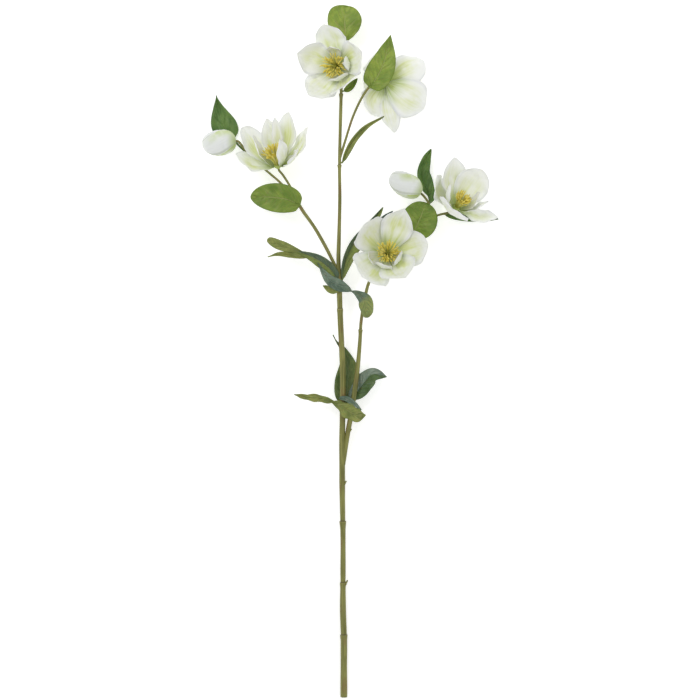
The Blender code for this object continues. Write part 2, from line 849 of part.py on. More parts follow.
def finish(obj, colour):
    """Gives the object its own material and smooth shading with sharp edges kept."""
    (red, green, blue), roughness = colour
    material = bpy.data.materials.new(obj.name)
    material.use_nodes = True
    shader = material.node_tree.nodes["Principled BSDF"]
    shader.inputs["Base Color"].default_value = (red, green, blue, 1.0)
    shader.inputs["Roughness"].default_value = roughness
    shader.inputs["Metallic"].default_value = 0.0
    obj.data.materials.clear()
    obj.data.materials.append(material)
    obj.data.shade_smooth()
    obj.data.set_sharp_from_angle(angle=SHARP_ANGLE)


def carried_end(run):
    """Where the run stops short of the flower or bud that it carries, and that one's direction."""
    if run in CARRIED_BLOOMS:
        bloom = BLOOMS[CARRIED_BLOOMS[run]]
        axis = unit(bloom.axis)
        return np.array(bloom.centre) - axis * (RECEPTACLE_DEPTH + GAP), axis
    bud = BUDS[CARRIED_BUDS[run]]
    along = np.array(bud.tip) - np.array(bud.base)
    return np.array(bud.base) + along * BUD_FIRST_RING - unit(along) * GAP, unit(along)


def stem_solid(run):
    """One stem run as a tube, with a ring at each of its rows, or four where a knuckle is."""
    rows = np.array(STEM_RUNS[run])
    if run in CARRIED_BLOOMS or run in CARRIED_BUDS:
        end, direction = carried_end(run)
        last_radius = rows[-1, 3]
        rows = np.vstack([rows, [*(end - direction * STALK_END), last_radius], [*end, last_radius]])
    numbers = np.arange(len(rows))
    knuckles = [knuckle[1:] for knuckle in KNUCKLES if knuckle[0] == run]
    marks = [k for k in numbers if all(abs(rows[k, 1] - y) > KNUCKLE_CLEAR * half for y, _, half in knuckles)]
    for y, _, half in knuckles:
        marks += [np.interp(y + half * step, rows[:-2, 1], numbers[:-2]) for step in KNUCKLE_RINGS]
    curve = np.stack([np.interp(sorted(marks), numbers, rows[:, k]) for k in range(4)], axis=1)
    radii = curve[:, 3].copy()
    for y, height, half in knuckles:
        radii += height * np.exp(-(((curve[:, 1] - y) / half) ** 2))
    return tube_solid(curve[:, :3], radii, STEM_SIDES.get(run, STALK_SIDES))


def make_stem():
    solids = [stem_solid(run) for run in STEM_RUNS]
    for root, tip in STUBS:
        solids.append(tube_solid((root, tip), STUB_RADII, STALK_SIDES))
    finish(fused_object("stem", solids), STEM_COLOUR)


def petal_blade(bloom, petal):
    """Petal from the receptacle out to its tip, standing out from the flower at its middle.

    Outer layers sit further out and are flatter, so that their edges pass behind those of the inner layers.
    """
    centre, axis = np.array(bloom.centre), unit(bloom.axis)
    angle = math.radians(petal.azimuth)
    tip = centre + (petal.reach * math.cos(angle), petal.reach * math.sin(angle), petal.rise)
    outward = unit(tip - centre - axis * np.dot(tip - centre, axis))
    back = LAYER_STEP * petal.layer
    root_radius = INNER_ROOT_RADIUS if petal.layer < 0 else PETAL_ROOT_RADIUS
    root = centre + outward * root_radius - axis * (PETAL_ROOT_DEPTH + 0.4 * back)
    shoulder = centre + outward * PETAL_SHOULDER - axis * back
    facing = axis - outward * PETAL_FACING_IN
    chord = tip - root
    inside = unit(facing - chord * np.dot(facing, chord) / np.dot(chord, chord))
    stand_out = petal.bulge * np.linalg.norm(chord) + back
    return Blade(
        spine=(root, shoulder, root + chord * PETAL_MIDDLE - inside * stand_out, tip),
        facings=(facing,),
        half_width=petal.half_width,
        fullest=PETAL_FULLEST,
        blunt=PETAL_BLUNT,
        point=petal.point,
        cup=LAYER_CUPS[petal.layer],
    )


def make_petals(name, bloom):
    """Petals fused with the rounded receptacle that they grow from."""
    profile = (
        (-RECEPTACLE_DEPTH, RECEPTACLE_NECK),
        (-0.5 * RECEPTACLE_DEPTH, 0.85 * RECEPTACLE_RADIUS),
        (-0.2 * RECEPTACLE_DEPTH, RECEPTACLE_RADIUS),
        (RECEPTACLE_TOP, 0.92 * RECEPTACLE_RADIUS),
    )
    solids = [turned_solid(bloom.centre, bloom.axis, profile, RECEPTACLE_SIDES)]
    for petal in bloom.petals + bloom.inner:
        rows = INNER_ROWS if petal.layer < 0 else PETAL_ROWS
        solids.append(blade_solid(petal_blade(bloom, petal), rows, PETAL_COLUMNS, PETAL_THICKNESS))
    finish(fused_object(f"petals_{name}", solids), PETAL_COLOUR)


def frame_of(axis):
    """Two directions square to the axis, for placing things round it."""
    axis = unit(axis)
    first = unit(np.cross(axis, ODD_DIRECTION))
    return axis, first, np.cross(axis, first)


def make_stamens(name, bloom, seed):
    """A low boss and the ring of stamens on it, inner and outer ones by turns."""
    draw = random.Random(seed)
    axis, first, second = frame_of(bloom.axis)
    centre = np.array(bloom.centre)
    bottom = RECEPTACLE_TOP + GAP
    profile = (
        (bottom, 0.85 * BOSS_RADIUS),
        (0.7 * bottom + 0.3 * BOSS_TOP, BOSS_RADIUS),
        (BOSS_TOP, 0.88 * BOSS_RADIUS),
    )
    solids = [turned_solid(centre, axis, profile, BOSS_SIDES)]
    for index in range(STAMEN_COUNT):
        share = ((STAMEN_STEP * index) % STAMEN_COUNT + 0.5) / STAMEN_COUNT
        angle = 2 * math.pi * index / STAMEN_COUNT
        outward = math.cos(angle) * first + math.sin(angle) * second
        lean = math.radians(STAMEN_LEAST_LEAN + (bloom.stamen_spread - STAMEN_LEAST_LEAN) * share**0.6)
        length = bloom.stamen_length * draw.uniform(*STAMEN_LENGTHS)
        along = math.cos(lean) * axis + math.sin(lean) * outward
        root = centre + axis * (BOSS_TOP - STAMEN_SUNK) + outward * np.interp(share, (0, 1), STAMEN_ROOTS)
        bow = (axis - outward) * STAMEN_BOW
        points = [root + along * length * s + bow * math.sin(math.pi * s) for s in STAMEN_RINGS]
        radii = (STAMEN_RADIUS, STAMEN_RADIUS, ANTHER_RADIUS, 0.5 * STAMEN_RADIUS)
        solids.append(tube_solid(points, radii, 3))
    finish(fused_object(f"stamens_{name}", solids), STAMEN_COLOUR)


def make_carpels(name, bloom):
    """Pointed carpels standing close together on the middle of the boss."""
    axis, first, second = frame_of(bloom.axis)
    foot = np.array(bloom.centre) + axis * (BOSS_TOP + GAP)
    profile = ((0.0, CARPEL_FOOT_RADIUS), (CARPEL_FOOT_HEIGHT, CARPEL_FOOT_RADIUS))
    solids = [turned_solid(foot, axis, profile, 6)]
    for index in range(CARPEL_COUNT):
        angle = 2 * math.pi * index / CARPEL_COUNT
        outward = math.cos(angle) * first + math.sin(angle) * second
        points = [foot + axis * height + outward * out for height, out, _ in CARPEL_RINGS]
        solids.append(tube_solid(points, [radius for _, _, radius in CARPEL_RINGS], 3))
    finish(fused_object(f"carpels_{name}", solids), CARPEL_COLOUR)


def make_bud(name, bud):
    """Closed bud: a blunt egg whose wrapped petals each end in a low step."""
    base, tip = np.array(bud.base), np.array(bud.tip)
    axis, first, second = frame_of(tip - base)
    length = np.linalg.norm(tip - base)
    points, faces = [], []
    for ring in range(BUD_RINGS + 1):
        s = BUD_FIRST_RING + (1 - 2 * BUD_FIRST_RING) * ring / BUD_RINGS
        swell = math.sin(math.pi * s**BUD_SKEW) ** BUD_BLUNT
        for k in range(BUD_SEGMENTS):
            turn = k / BUD_SEGMENTS
            wrap = (turn * BUD_PETALS + BUD_TWIST * s) % 1.0
            lip = BUD_LIP * (wrap - 0.5) * math.sqrt(math.sin(math.pi * s))
            radius = bud.radius * swell * (1 - 0.5 * BUD_LIP + lip)
            angle = 2 * math.pi * turn
            outward = math.cos(angle) * first + math.sin(angle) * second
            points.append(base + axis * length * s + radius * outward)
    for i in range(BUD_RINGS):
        for k in range(BUD_SEGMENTS):
            a, b = i * BUD_SEGMENTS + k, i * BUD_SEGMENTS + (k + 1) % BUD_SEGMENTS
            faces.append((a, b, b + BUD_SEGMENTS))
            faces.append((a, b + BUD_SEGMENTS, a + BUD_SEGMENTS))
    last = BUD_RINGS * BUD_SEGMENTS
    for k in range(1, BUD_SEGMENTS - 1):
        faces.append((0, k + 1, k))
        faces.append((last, last + k, last + k + 1))
    finish(mesh_object(f"bud_{name}", (points, faces)), PETAL_COLOUR)


def make_leaves():
    for name, blades in LEAVES.items():
        solids = []
        for blade in blades:
            rows = max(LEAF_ROWS, 2 * blade.teeth + 2)
            columns = LOBE_COLUMNS if blade.half_width < NARROW else LEAF_COLUMNS
            solids.append(blade_solid(blade, rows, columns, LEAF_THICKNESS))
        dark = "cluster" in name or "lower" in name
        finish(fused_object(name, solids), DARK_LEAF_COLOUR if dark else LEAF_COLOUR)


def main():
    for obj in list(bpy.data.objects):
        bpy.data.objects.remove(obj, do_unlink=True)
    make_stem()
    for seed, (name, bloom) in enumerate(BLOOMS.items()):
        make_petals(name, bloom)
        make_stamens(name, bloom, seed)
        make_carpels(name, bloom)
    for name, bud in BUDS.items():
        make_bud(name, bud)
    make_leaves()


main()
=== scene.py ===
"""Looks of a cut hellebore stem: petals, stamens, carpels, buds, leaves and stem in place of the solids.

The forms are worked out from the same named sizes as the solids, with more rows and columns, waved edges,
ribs and veins. Everything is in metres, with Z up from the surface that the stem lies on.
"""

import math
import random
from collections import namedtuple

import bpy
import numpy as np
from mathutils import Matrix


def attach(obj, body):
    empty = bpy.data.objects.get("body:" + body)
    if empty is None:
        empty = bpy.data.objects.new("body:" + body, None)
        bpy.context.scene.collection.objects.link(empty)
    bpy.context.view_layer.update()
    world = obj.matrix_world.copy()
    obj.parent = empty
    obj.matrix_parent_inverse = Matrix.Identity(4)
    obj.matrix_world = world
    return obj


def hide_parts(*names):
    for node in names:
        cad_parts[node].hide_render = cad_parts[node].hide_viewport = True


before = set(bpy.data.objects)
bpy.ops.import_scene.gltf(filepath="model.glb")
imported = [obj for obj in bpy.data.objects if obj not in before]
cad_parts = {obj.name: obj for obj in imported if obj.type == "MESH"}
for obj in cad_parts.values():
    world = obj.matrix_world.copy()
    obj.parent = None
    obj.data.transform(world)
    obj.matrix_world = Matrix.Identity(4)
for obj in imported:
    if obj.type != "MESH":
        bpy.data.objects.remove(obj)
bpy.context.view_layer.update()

# Camera: it looks straight down, and the photo's frame is this wide and high on the surface
VIEW_WIDTH = 0.77
VIEW_CENTRE = (-0.0003, 0.0026, 0.025)
LENS_MM, SENSOR_MM = 135.0, 36.0

# Studio: half the floor's width, its height just under the stem, and lights as (name, place, size, power)
STAGE_REACH, FLOOR_Z = 3.0, -0.0003
LIGHTS = (
    ("key", (-0.9, 1.0, 1.7), 1.2, 26.0),
    ("fill", (1.2, 0.2, 1.5), 1.4, 9.0),
    ("low", (0.0, -1.4, 1.3), 1.2, 6.0),
)
LIGHT_AIM = (0.0, 0.15, 0.03)
WORLD_STRENGTH = 0.75

# How finely the pieces are divided
PETAL_ROWS, PETAL_COLUMNS = 30, 22
INNER_ROWS = 18
LEAF_ROWS, LEAF_COLUMNS = 44, 20
STEM_SIDES, STEM_RING_STEP = 18, 0.0022
NODE_RINGS = (-2.2, -1.4, -0.9, -0.5, -0.3, -0.1, 0.0, 0.05, 0.1, 0.16, 0.3, 0.6, 1.0, 1.5, 2.0)
CURVE_STEPS = 24

PETAL_THICKNESS = 0.00038
LEAF_THICKNESS = 0.00055

# Receptacle, boss and petal roots, as on the solids
RECEPTACLE_RADIUS = 0.0045
RECEPTACLE_DEPTH = 0.005
RECEPTACLE_TOP = 0.001
RECEPTACLE_NECK = 0.0016
BOSS_RADIUS = 0.0034
BOSS_TOP = 0.0034
PETAL_ROOT_RADIUS = 0.003
INNER_ROOT_RADIUS = 0.0036
PETAL_ROOT_DEPTH = 0.0018
PETAL_SHOULDER = 0.0075
PETAL_MIDDLE = 0.52
PETAL_FACING_IN = 0.6
PETAL_FULLEST, PETAL_BLUNT = 0.58, 0.55
LAYER_STEP = 0.0012
LAYER_CUPS = {-1: 0.3, 0: 0.34, 1: 0.14, 2: 0.02}

# Relief of a petal: how finely it is set out, its ruffled rim, the crease along its middle, its crinkles
PETAL_TIP_CROWDING, PETAL_RIM_CROWDING = 1.6, 0.25
RUFFLE_PHASES, RUFFLE_WAVES, RUFFLE_LAG = 6.28, (2.0, 3.2), 1.9
OUTER_RUFFLE, INNER_RUFFLE = 0.0011, 0.0006
CREASE_DEPTH, CREASE_WIDTH = 0.0007, 0.16
CRINKLE_DEPTH, CRINKLE_WAVES = 0.00022, 7

# How strong the yellow-green flush of each bloom's petals is, and its share on the small inner petals
INNER_FLUSH = 0.7
PETAL_FLUSH = {"top": 0.8, "upper_right": 0.75, "left": 0.95, "middle": 0.95, "right": 0.65}

# Stamens, as (share of the length, radius) from root to tip, and how far each may stray
STAMEN_COUNT, STAMEN_STEP = 84, 31
STAMEN_RADIUS, ANTHER_RADIUS = 0.00038, 0.00066
STAMEN_PROFILE = (
    (0.0, STAMEN_RADIUS),
    (0.2, STAMEN_RADIUS),
    (0.4, 0.95 * STAMEN_RADIUS),
    (0.56, 0.9 * STAMEN_RADIUS),
    (0.66, 0.95 * STAMEN_RADIUS),
    (0.72, 1.25 * STAMEN_RADIUS),
    (0.78, 0.85 * ANTHER_RADIUS),
    (0.86, ANTHER_RADIUS),
    (0.94, 0.92 * ANTHER_RADIUS),
    (0.985, 0.6 * ANTHER_RADIUS),
    (1.0, 0.2 * ANTHER_RADIUS),
)
STAMEN_LEAN_IN, STAMEN_LEAN_OUT = 9, 7
STAMEN_ROOT_SINK = 0.0009
STAMEN_ROOT_NEAR, STAMEN_ROOT_BAND = 0.0018, 0.0013

# Carpels, as (share of the height, distance from the axis, radius)
CARPEL_COUNT, CARPEL_HEIGHT, CARPEL_SINK = 5, 0.0095, 0.0002
CARPEL_PROFILE = (
    (0.0, 0.0009, 0.0007),
    (0.15, 0.001, 0.0009),
    (0.35, 0.0011, 0.001),
    (0.55, 0.0011, 0.0008),
    (0.7, 0.001, 0.0005),
    (0.85, 0.0011, 0.00035),
    (0.95, 0.0013, 0.00035),
    (1.0, 0.0015, 0.0002),
)

# Leaves that grasp the stem with no stalk of their own
CLASPING_LEAVES = ("leaf_cluster_front",)
STALK_HALF_WIDTH = 0.001
LEAST_HALF_WIDTH = 0.0004
WAVES_ALONG, WAVE_LAG = 2.5, 1.1
FADE_AT_BASE, FADE_AT_TIP = 3.0, 4.0
TOOTH_DEPTH = 0.22

# Relief of a leaf: groove over the midrib, puffs between slanted side veins, and a slow sway
SMALL_LEAF = 0.006
LEAF_TIP_CROWDING, LEAF_RIM_CROWDING = 1.4, 0.45
VEIN_GAPS, VEIN_SLANT = (6.5, 8.5), 1.9
GROOVE_DEPTH, GROOVE_WIDTH = 0.0004, 0.0007
PUFF_HEIGHT, SWAY_HEIGHT = 0.00016, 0.00035
STALK_RADII, STALK_RINGS = (0.0012, 0.0005), 9

Petal = namedtuple("Petal", "azimuth reach rise half_width layer bulge point", defaults=(0.12, 0.68))
Bloom = namedtuple("Bloom", "centre axis stamen_length stamen_spread petals inner")
Bud = namedtuple("Bud", "base tip radius")
Blade = namedtuple(
    "Blade",
    "spine facings half_width fullest blunt point stalk cup fold wave teeth",
    defaults=(0.4, 0.75, 0.75, 0.0, 0.15, 0.0, 0.0, 0),
)

# Stem runs, each a list of (x, y, z, radius) along its middle line
STEM_RUNS = {
    "main": (
        (-0.007, -0.382, 0.0036, 0.0038), (-0.007, -0.35, 0.0045, 0.0037),
        (-0.007, -0.316, 0.005, 0.0036), (-0.008, -0.284, 0.0058, 0.0034),
        (-0.008, -0.25, 0.0064, 0.003), (-0.008, -0.206, 0.0072, 0.0029),
        (-0.0088, -0.16, 0.0086, 0.0031), (-0.009, -0.129, 0.0098, 0.0033),
        (-0.009, -0.096, 0.012, 0.0033), (-0.0085, -0.06, 0.0144, 0.0032),
        (-0.0085, -0.019, 0.017, 0.0031), (-0.011, 0.036, 0.02, 0.0031),
        (-0.0122, 0.074, 0.0222, 0.0029), (-0.013, 0.102, 0.024, 0.0024),
        (-0.0125, 0.124, 0.025, 0.0021), (-0.0115, 0.168, 0.027, 0.0019),
        (-0.0118, 0.205, 0.028, 0.0018), (-0.011, 0.245, 0.0288, 0.0018),
        (-0.01, 0.288, 0.0286, 0.0018), (-0.011, 0.306, 0.0258, 0.0016),
    ),
    "right": (
        (-0.008, -0.124, 0.0102, 0.0026), (-0.005, -0.104, 0.0118, 0.0027),
        (-0.002, -0.085, 0.0134, 0.0028), (0.001, -0.069, 0.0148, 0.0028),
        (0.0035, -0.052, 0.016, 0.0027), (0.008, -0.019, 0.0185, 0.0025), (0.0105, 0.01, 0.02, 0.0021),
        (0.0122, 0.036, 0.021, 0.0018), (0.017, 0.064, 0.0216, 0.0018), (0.021, 0.078, 0.0218, 0.0018),
        (0.029, 0.093, 0.0218, 0.0017), (0.044, 0.11, 0.022, 0.0017), (0.059, 0.122, 0.023, 0.0016),
        (0.071, 0.131, 0.024, 0.0015),
    ),
    "left": (
        (-0.013, 0.086, 0.0226, 0.0018), (-0.017, 0.096, 0.0228, 0.0019),
        (-0.027, 0.116, 0.023, 0.0019), (-0.039, 0.137, 0.023, 0.0019), (-0.051, 0.154, 0.0226, 0.0019),
        (-0.056, 0.162, 0.0222, 0.0018),
    ),
    "stalk_left_bloom": (
        (-0.055, 0.16, 0.0223, 0.0014), (-0.064, 0.179, 0.02, 0.0013),
        (-0.0735, 0.1945, 0.0184, 0.0013),
    ),
    "stalk_left_bud": (
        (-0.055, 0.16, 0.0223, 0.0014), (-0.074, 0.184, 0.015, 0.0013), (-0.088, 0.197, 0.0096, 0.0013),
        (-0.106, 0.212, 0.0098, 0.0013), (-0.115, 0.2225, 0.0135, 0.0013),
    ),
    "stalk_upper_right": (
        (-0.0115, 0.213, 0.0283, 0.0015), (-0.005, 0.234, 0.03, 0.0013), (0.002, 0.256, 0.0325, 0.0013),
        (0.01, 0.274, 0.036, 0.0013), (0.018, 0.287, 0.0395, 0.0013), (0.026, 0.2945, 0.0422, 0.0013),
        (0.0315, 0.2965, 0.043, 0.0013),
    ),
    "stalk_middle": (
        (0.0265, 0.089, 0.0218, 0.0018), (0.0345, 0.1, 0.024, 0.0016),
    ),
    "stalk_right_bloom": (
        (0.069, 0.1295, 0.0239, 0.0014), (0.082, 0.142, 0.0235, 0.0013), (0.094, 0.15, 0.0225, 0.0013),
        (0.1065, 0.1535, 0.0207, 0.0013),
    ),
    "stalk_right_bud": (
        (0.07, 0.13, 0.024, 0.0014), (0.079, 0.146, 0.024, 0.0013), (0.0855, 0.158, 0.0245, 0.0013),
        (0.086, 0.1645, 0.025, 0.0013),
    ),
}

# The flower or bud at the end of each run
CARRIED_BLOOMS = {
    "main": "top",
    "stalk_upper_right": "upper_right",
    "stalk_left_bloom": "left",
    "stalk_middle": "middle",
    "stalk_right_bloom": "right",
}

CARRIED_BUDS = {"stalk_left_bud": "left", "stalk_right_bud": "right"}

# Knuckle rings as (stem run, y, height of the ring over the stem, its half length)
KNUCKLES = (
    ("main", -0.313, 0.0006, 0.004),
    ("main", -0.255, 0.0006, 0.004),
    ("main", -0.187, 0.0008, 0.005),
    ("main", 0.048, 0.0005, 0.004),
    ("main", 0.206, 0.0006, 0.003),
    ("main", 0.284, 0.0008, 0.003),
    ("right", 0.025, 0.0006, 0.003),
)

# Stubs where a leaf was taken off, as (root, tip) points
STUBS = (
    ((-0.007, -0.26, 0.007), (-0.003, -0.252, 0.0088)),
    ((-0.008, -0.148, 0.0095), (-0.0044, -0.142, 0.0112)),
    ((-0.003, -0.09, 0.013), (0.0014, -0.0845, 0.0145)),
)

STUB_RADII = (0.0016, 0.0008)

# Shape of a knuckle: past its middle the stem steps up by the lip, then sinks and fills out again
LIP_SHARE, LIP_LENGTH, SINK_SHARE = 1.2, 0.08, 0.2
PALE_FALL, GROOVE_FALL = 2, 1.6

# Ribs that wind round the stem, and the slow change of its thickness
RIB_COUNT, RIB_DEPTH, RIB_TURN = 5, 0.035, 9
WOBBLE_DEPTH, WOBBLE_RATE = 0.02, 140

BLOOMS = {
    "top": Bloom(
        centre=(-0.014, 0.314, 0.033), axis=(-0.33, -0.08, 0.94), stamen_length=0.0178,
        stamen_spread=43,
        petals=(
            Petal(165, 0.0455, 0.02, 0.019, 0), Petal(109, 0.0455, 0.023, 0.017, 1),
            Petal(228, 0.046, 0.018, 0.019, 1), Petal(22, 0.0285, 0.039, 0.02, 0, 0.12, 0.5),
            Petal(283, 0.0265, 0.03, 0.0215, 2, 0.12, 0.4),
        ),
        inner=(
            Petal(2, 0.0055, 0.026, 0.008, -1, 0.38, 1.6),
            Petal(262, 0.016, 0.0195, 0.0125, -1, 0.34, 0.5),
            Petal(114, 0.0205, 0.0235, 0.008, -1, 0.26),
        ),
    ),
    "upper_right": Bloom(
        centre=(0.0385, 0.2955, 0.0345), axis=(0.3, -0.1, -0.95), stamen_length=0.0165,
        stamen_spread=36,
        petals=(
            Petal(329, 0.0505, -0.019, 0.0225, 2), Petal(32, 0.05, -0.018, 0.019, 0, 0.12, 0.45),
            Petal(105, 0.0375, -0.029, 0.018, 1), Petal(175, 0.024, -0.0338, 0.017, 0),
            Petal(244, 0.0355, -0.03, 0.018, 1, 0.12, 0.45),
            Petal(281, 0.054, -0.018, 0.011, 0, 0.12, 0.6),
        ),
        inner=(
            Petal(60, 0.015, -0.025, 0.0075, -1, 0.34), Petal(190, 0.006, -0.026, 0.0075, -1, 0.34),
            Petal(300, 0.015, -0.025, 0.0075, -1, 0.34),
        ),
    ),
    "left": Bloom(
        centre=(-0.08, 0.2065, 0.025), axis=(-0.2, 0.74, 0.64), stamen_length=0.0215, stamen_spread=28,
        petals=(
            Petal(78, 0.059, 0.002, 0.0135, 0), Petal(51, 0.0525, 0.008, 0.01, 1, 0.12, 0.85),
            Petal(103, 0.0525, -0.002, 0.0115, 1, 0.12, 0.85),
            Petal(134, 0.0565, -0.002, 0.015, 0, 0.12, 0.45), Petal(166, 0.047, 0.006, 0.014, 1),
            Petal(30, 0.027, 0.027, 0.0115, 0),
        ),
        inner=(
            Petal(83, 0.0255, 0.0325, 0.0095, -1, 0.18, 1.1), Petal(132, 0.04, 0.025, 0.009, -1, 0.14),
            Petal(93, 0.0515, 0.008, 0.006, -1, 0.1),
        ),
    ),
    "middle": Bloom(
        centre=(0.04, 0.108, 0.036), axis=(0.08, 0.12, 0.99), stamen_length=0.0175, stamen_spread=40,
        petals=(
            Petal(69, 0.052, 0.021, 0.018, 0, 0.12, 0.85),
            Petal(127, 0.0395, 0.029, 0.0215, 2, 0.12, 0.5),
            Petal(225, 0.0375, 0.03, 0.0245, 1, 0.12, 0.45),
            Petal(307, 0.0335, 0.032, 0.022, 0, 0.12, 0.5),
            Petal(12, 0.0455, 0.0235, 0.0195, 1, 0.12, 0.5),
        ),
        inner=(
            Petal(346, 0.0125, 0.025, 0.0095, -1, 0.34, 1.0),
            Petal(256, 0.0135, 0.0245, 0.01, -1, 0.34, 0.55),
            Petal(194, 0.0205, 0.0235, 0.0085, -1, 0.3, 0.9),
        ),
    ),
    "right": Bloom(
        centre=(0.117, 0.16, 0.027), axis=(0.42, 0.55, 0.72), stamen_length=0.017, stamen_spread=22,
        petals=(
            Petal(93, 0.054, 0.006, 0.017, 0), Petal(54, 0.049, 0.006, 0.019, 1, 0.12, 0.5),
            Petal(124, 0.04, 0.02, 0.015, 1, 0.18), Petal(345, 0.0465, 0.003, 0.0105, 1, 0.07),
            Petal(8, 0.034, 0.023, 0.0065, 0, 0.12, 0.9),
            Petal(215, 0.0075, 0.038, 0.02, 0, 0.16, 0.45),
        ),
        inner=(
            Petal(111, 0.0235, 0.032, 0.0085, -1, 0.18), Petal(30, 0.029, 0.02, 0.008, -1, 0.22),
        ),
    ),
}

BUDS = {
    "left": Bud(base=(-0.1257, 0.232, 0.0228), tip=(-0.1632, 0.2298, 0.0225), radius=0.015),
    "right": Bud(base=(0.0775, 0.1745, 0.0255), tip=(0.044, 0.1945, 0.029), radius=0.014),
}

BUD_PETALS, BUD_SIDES, BUD_RINGS = 3, 72, 44
BUD_LIP, BUD_LIP_WIDTH, BUD_TWIST = 0.09, 0.06, 0.7
BUD_SKEW, BUD_BLUNT, BUD_CRINKLE = 0.92, 0.38, 0.012
BUD_FIRST, BUD_SPAN = 0.004, 0.992

UP = (0.0, 0.0, 1.0)

# A direction that no axis runs along, to set the first side of a ring
OFF_AXIS = (0.31, 0.17, 0.93)

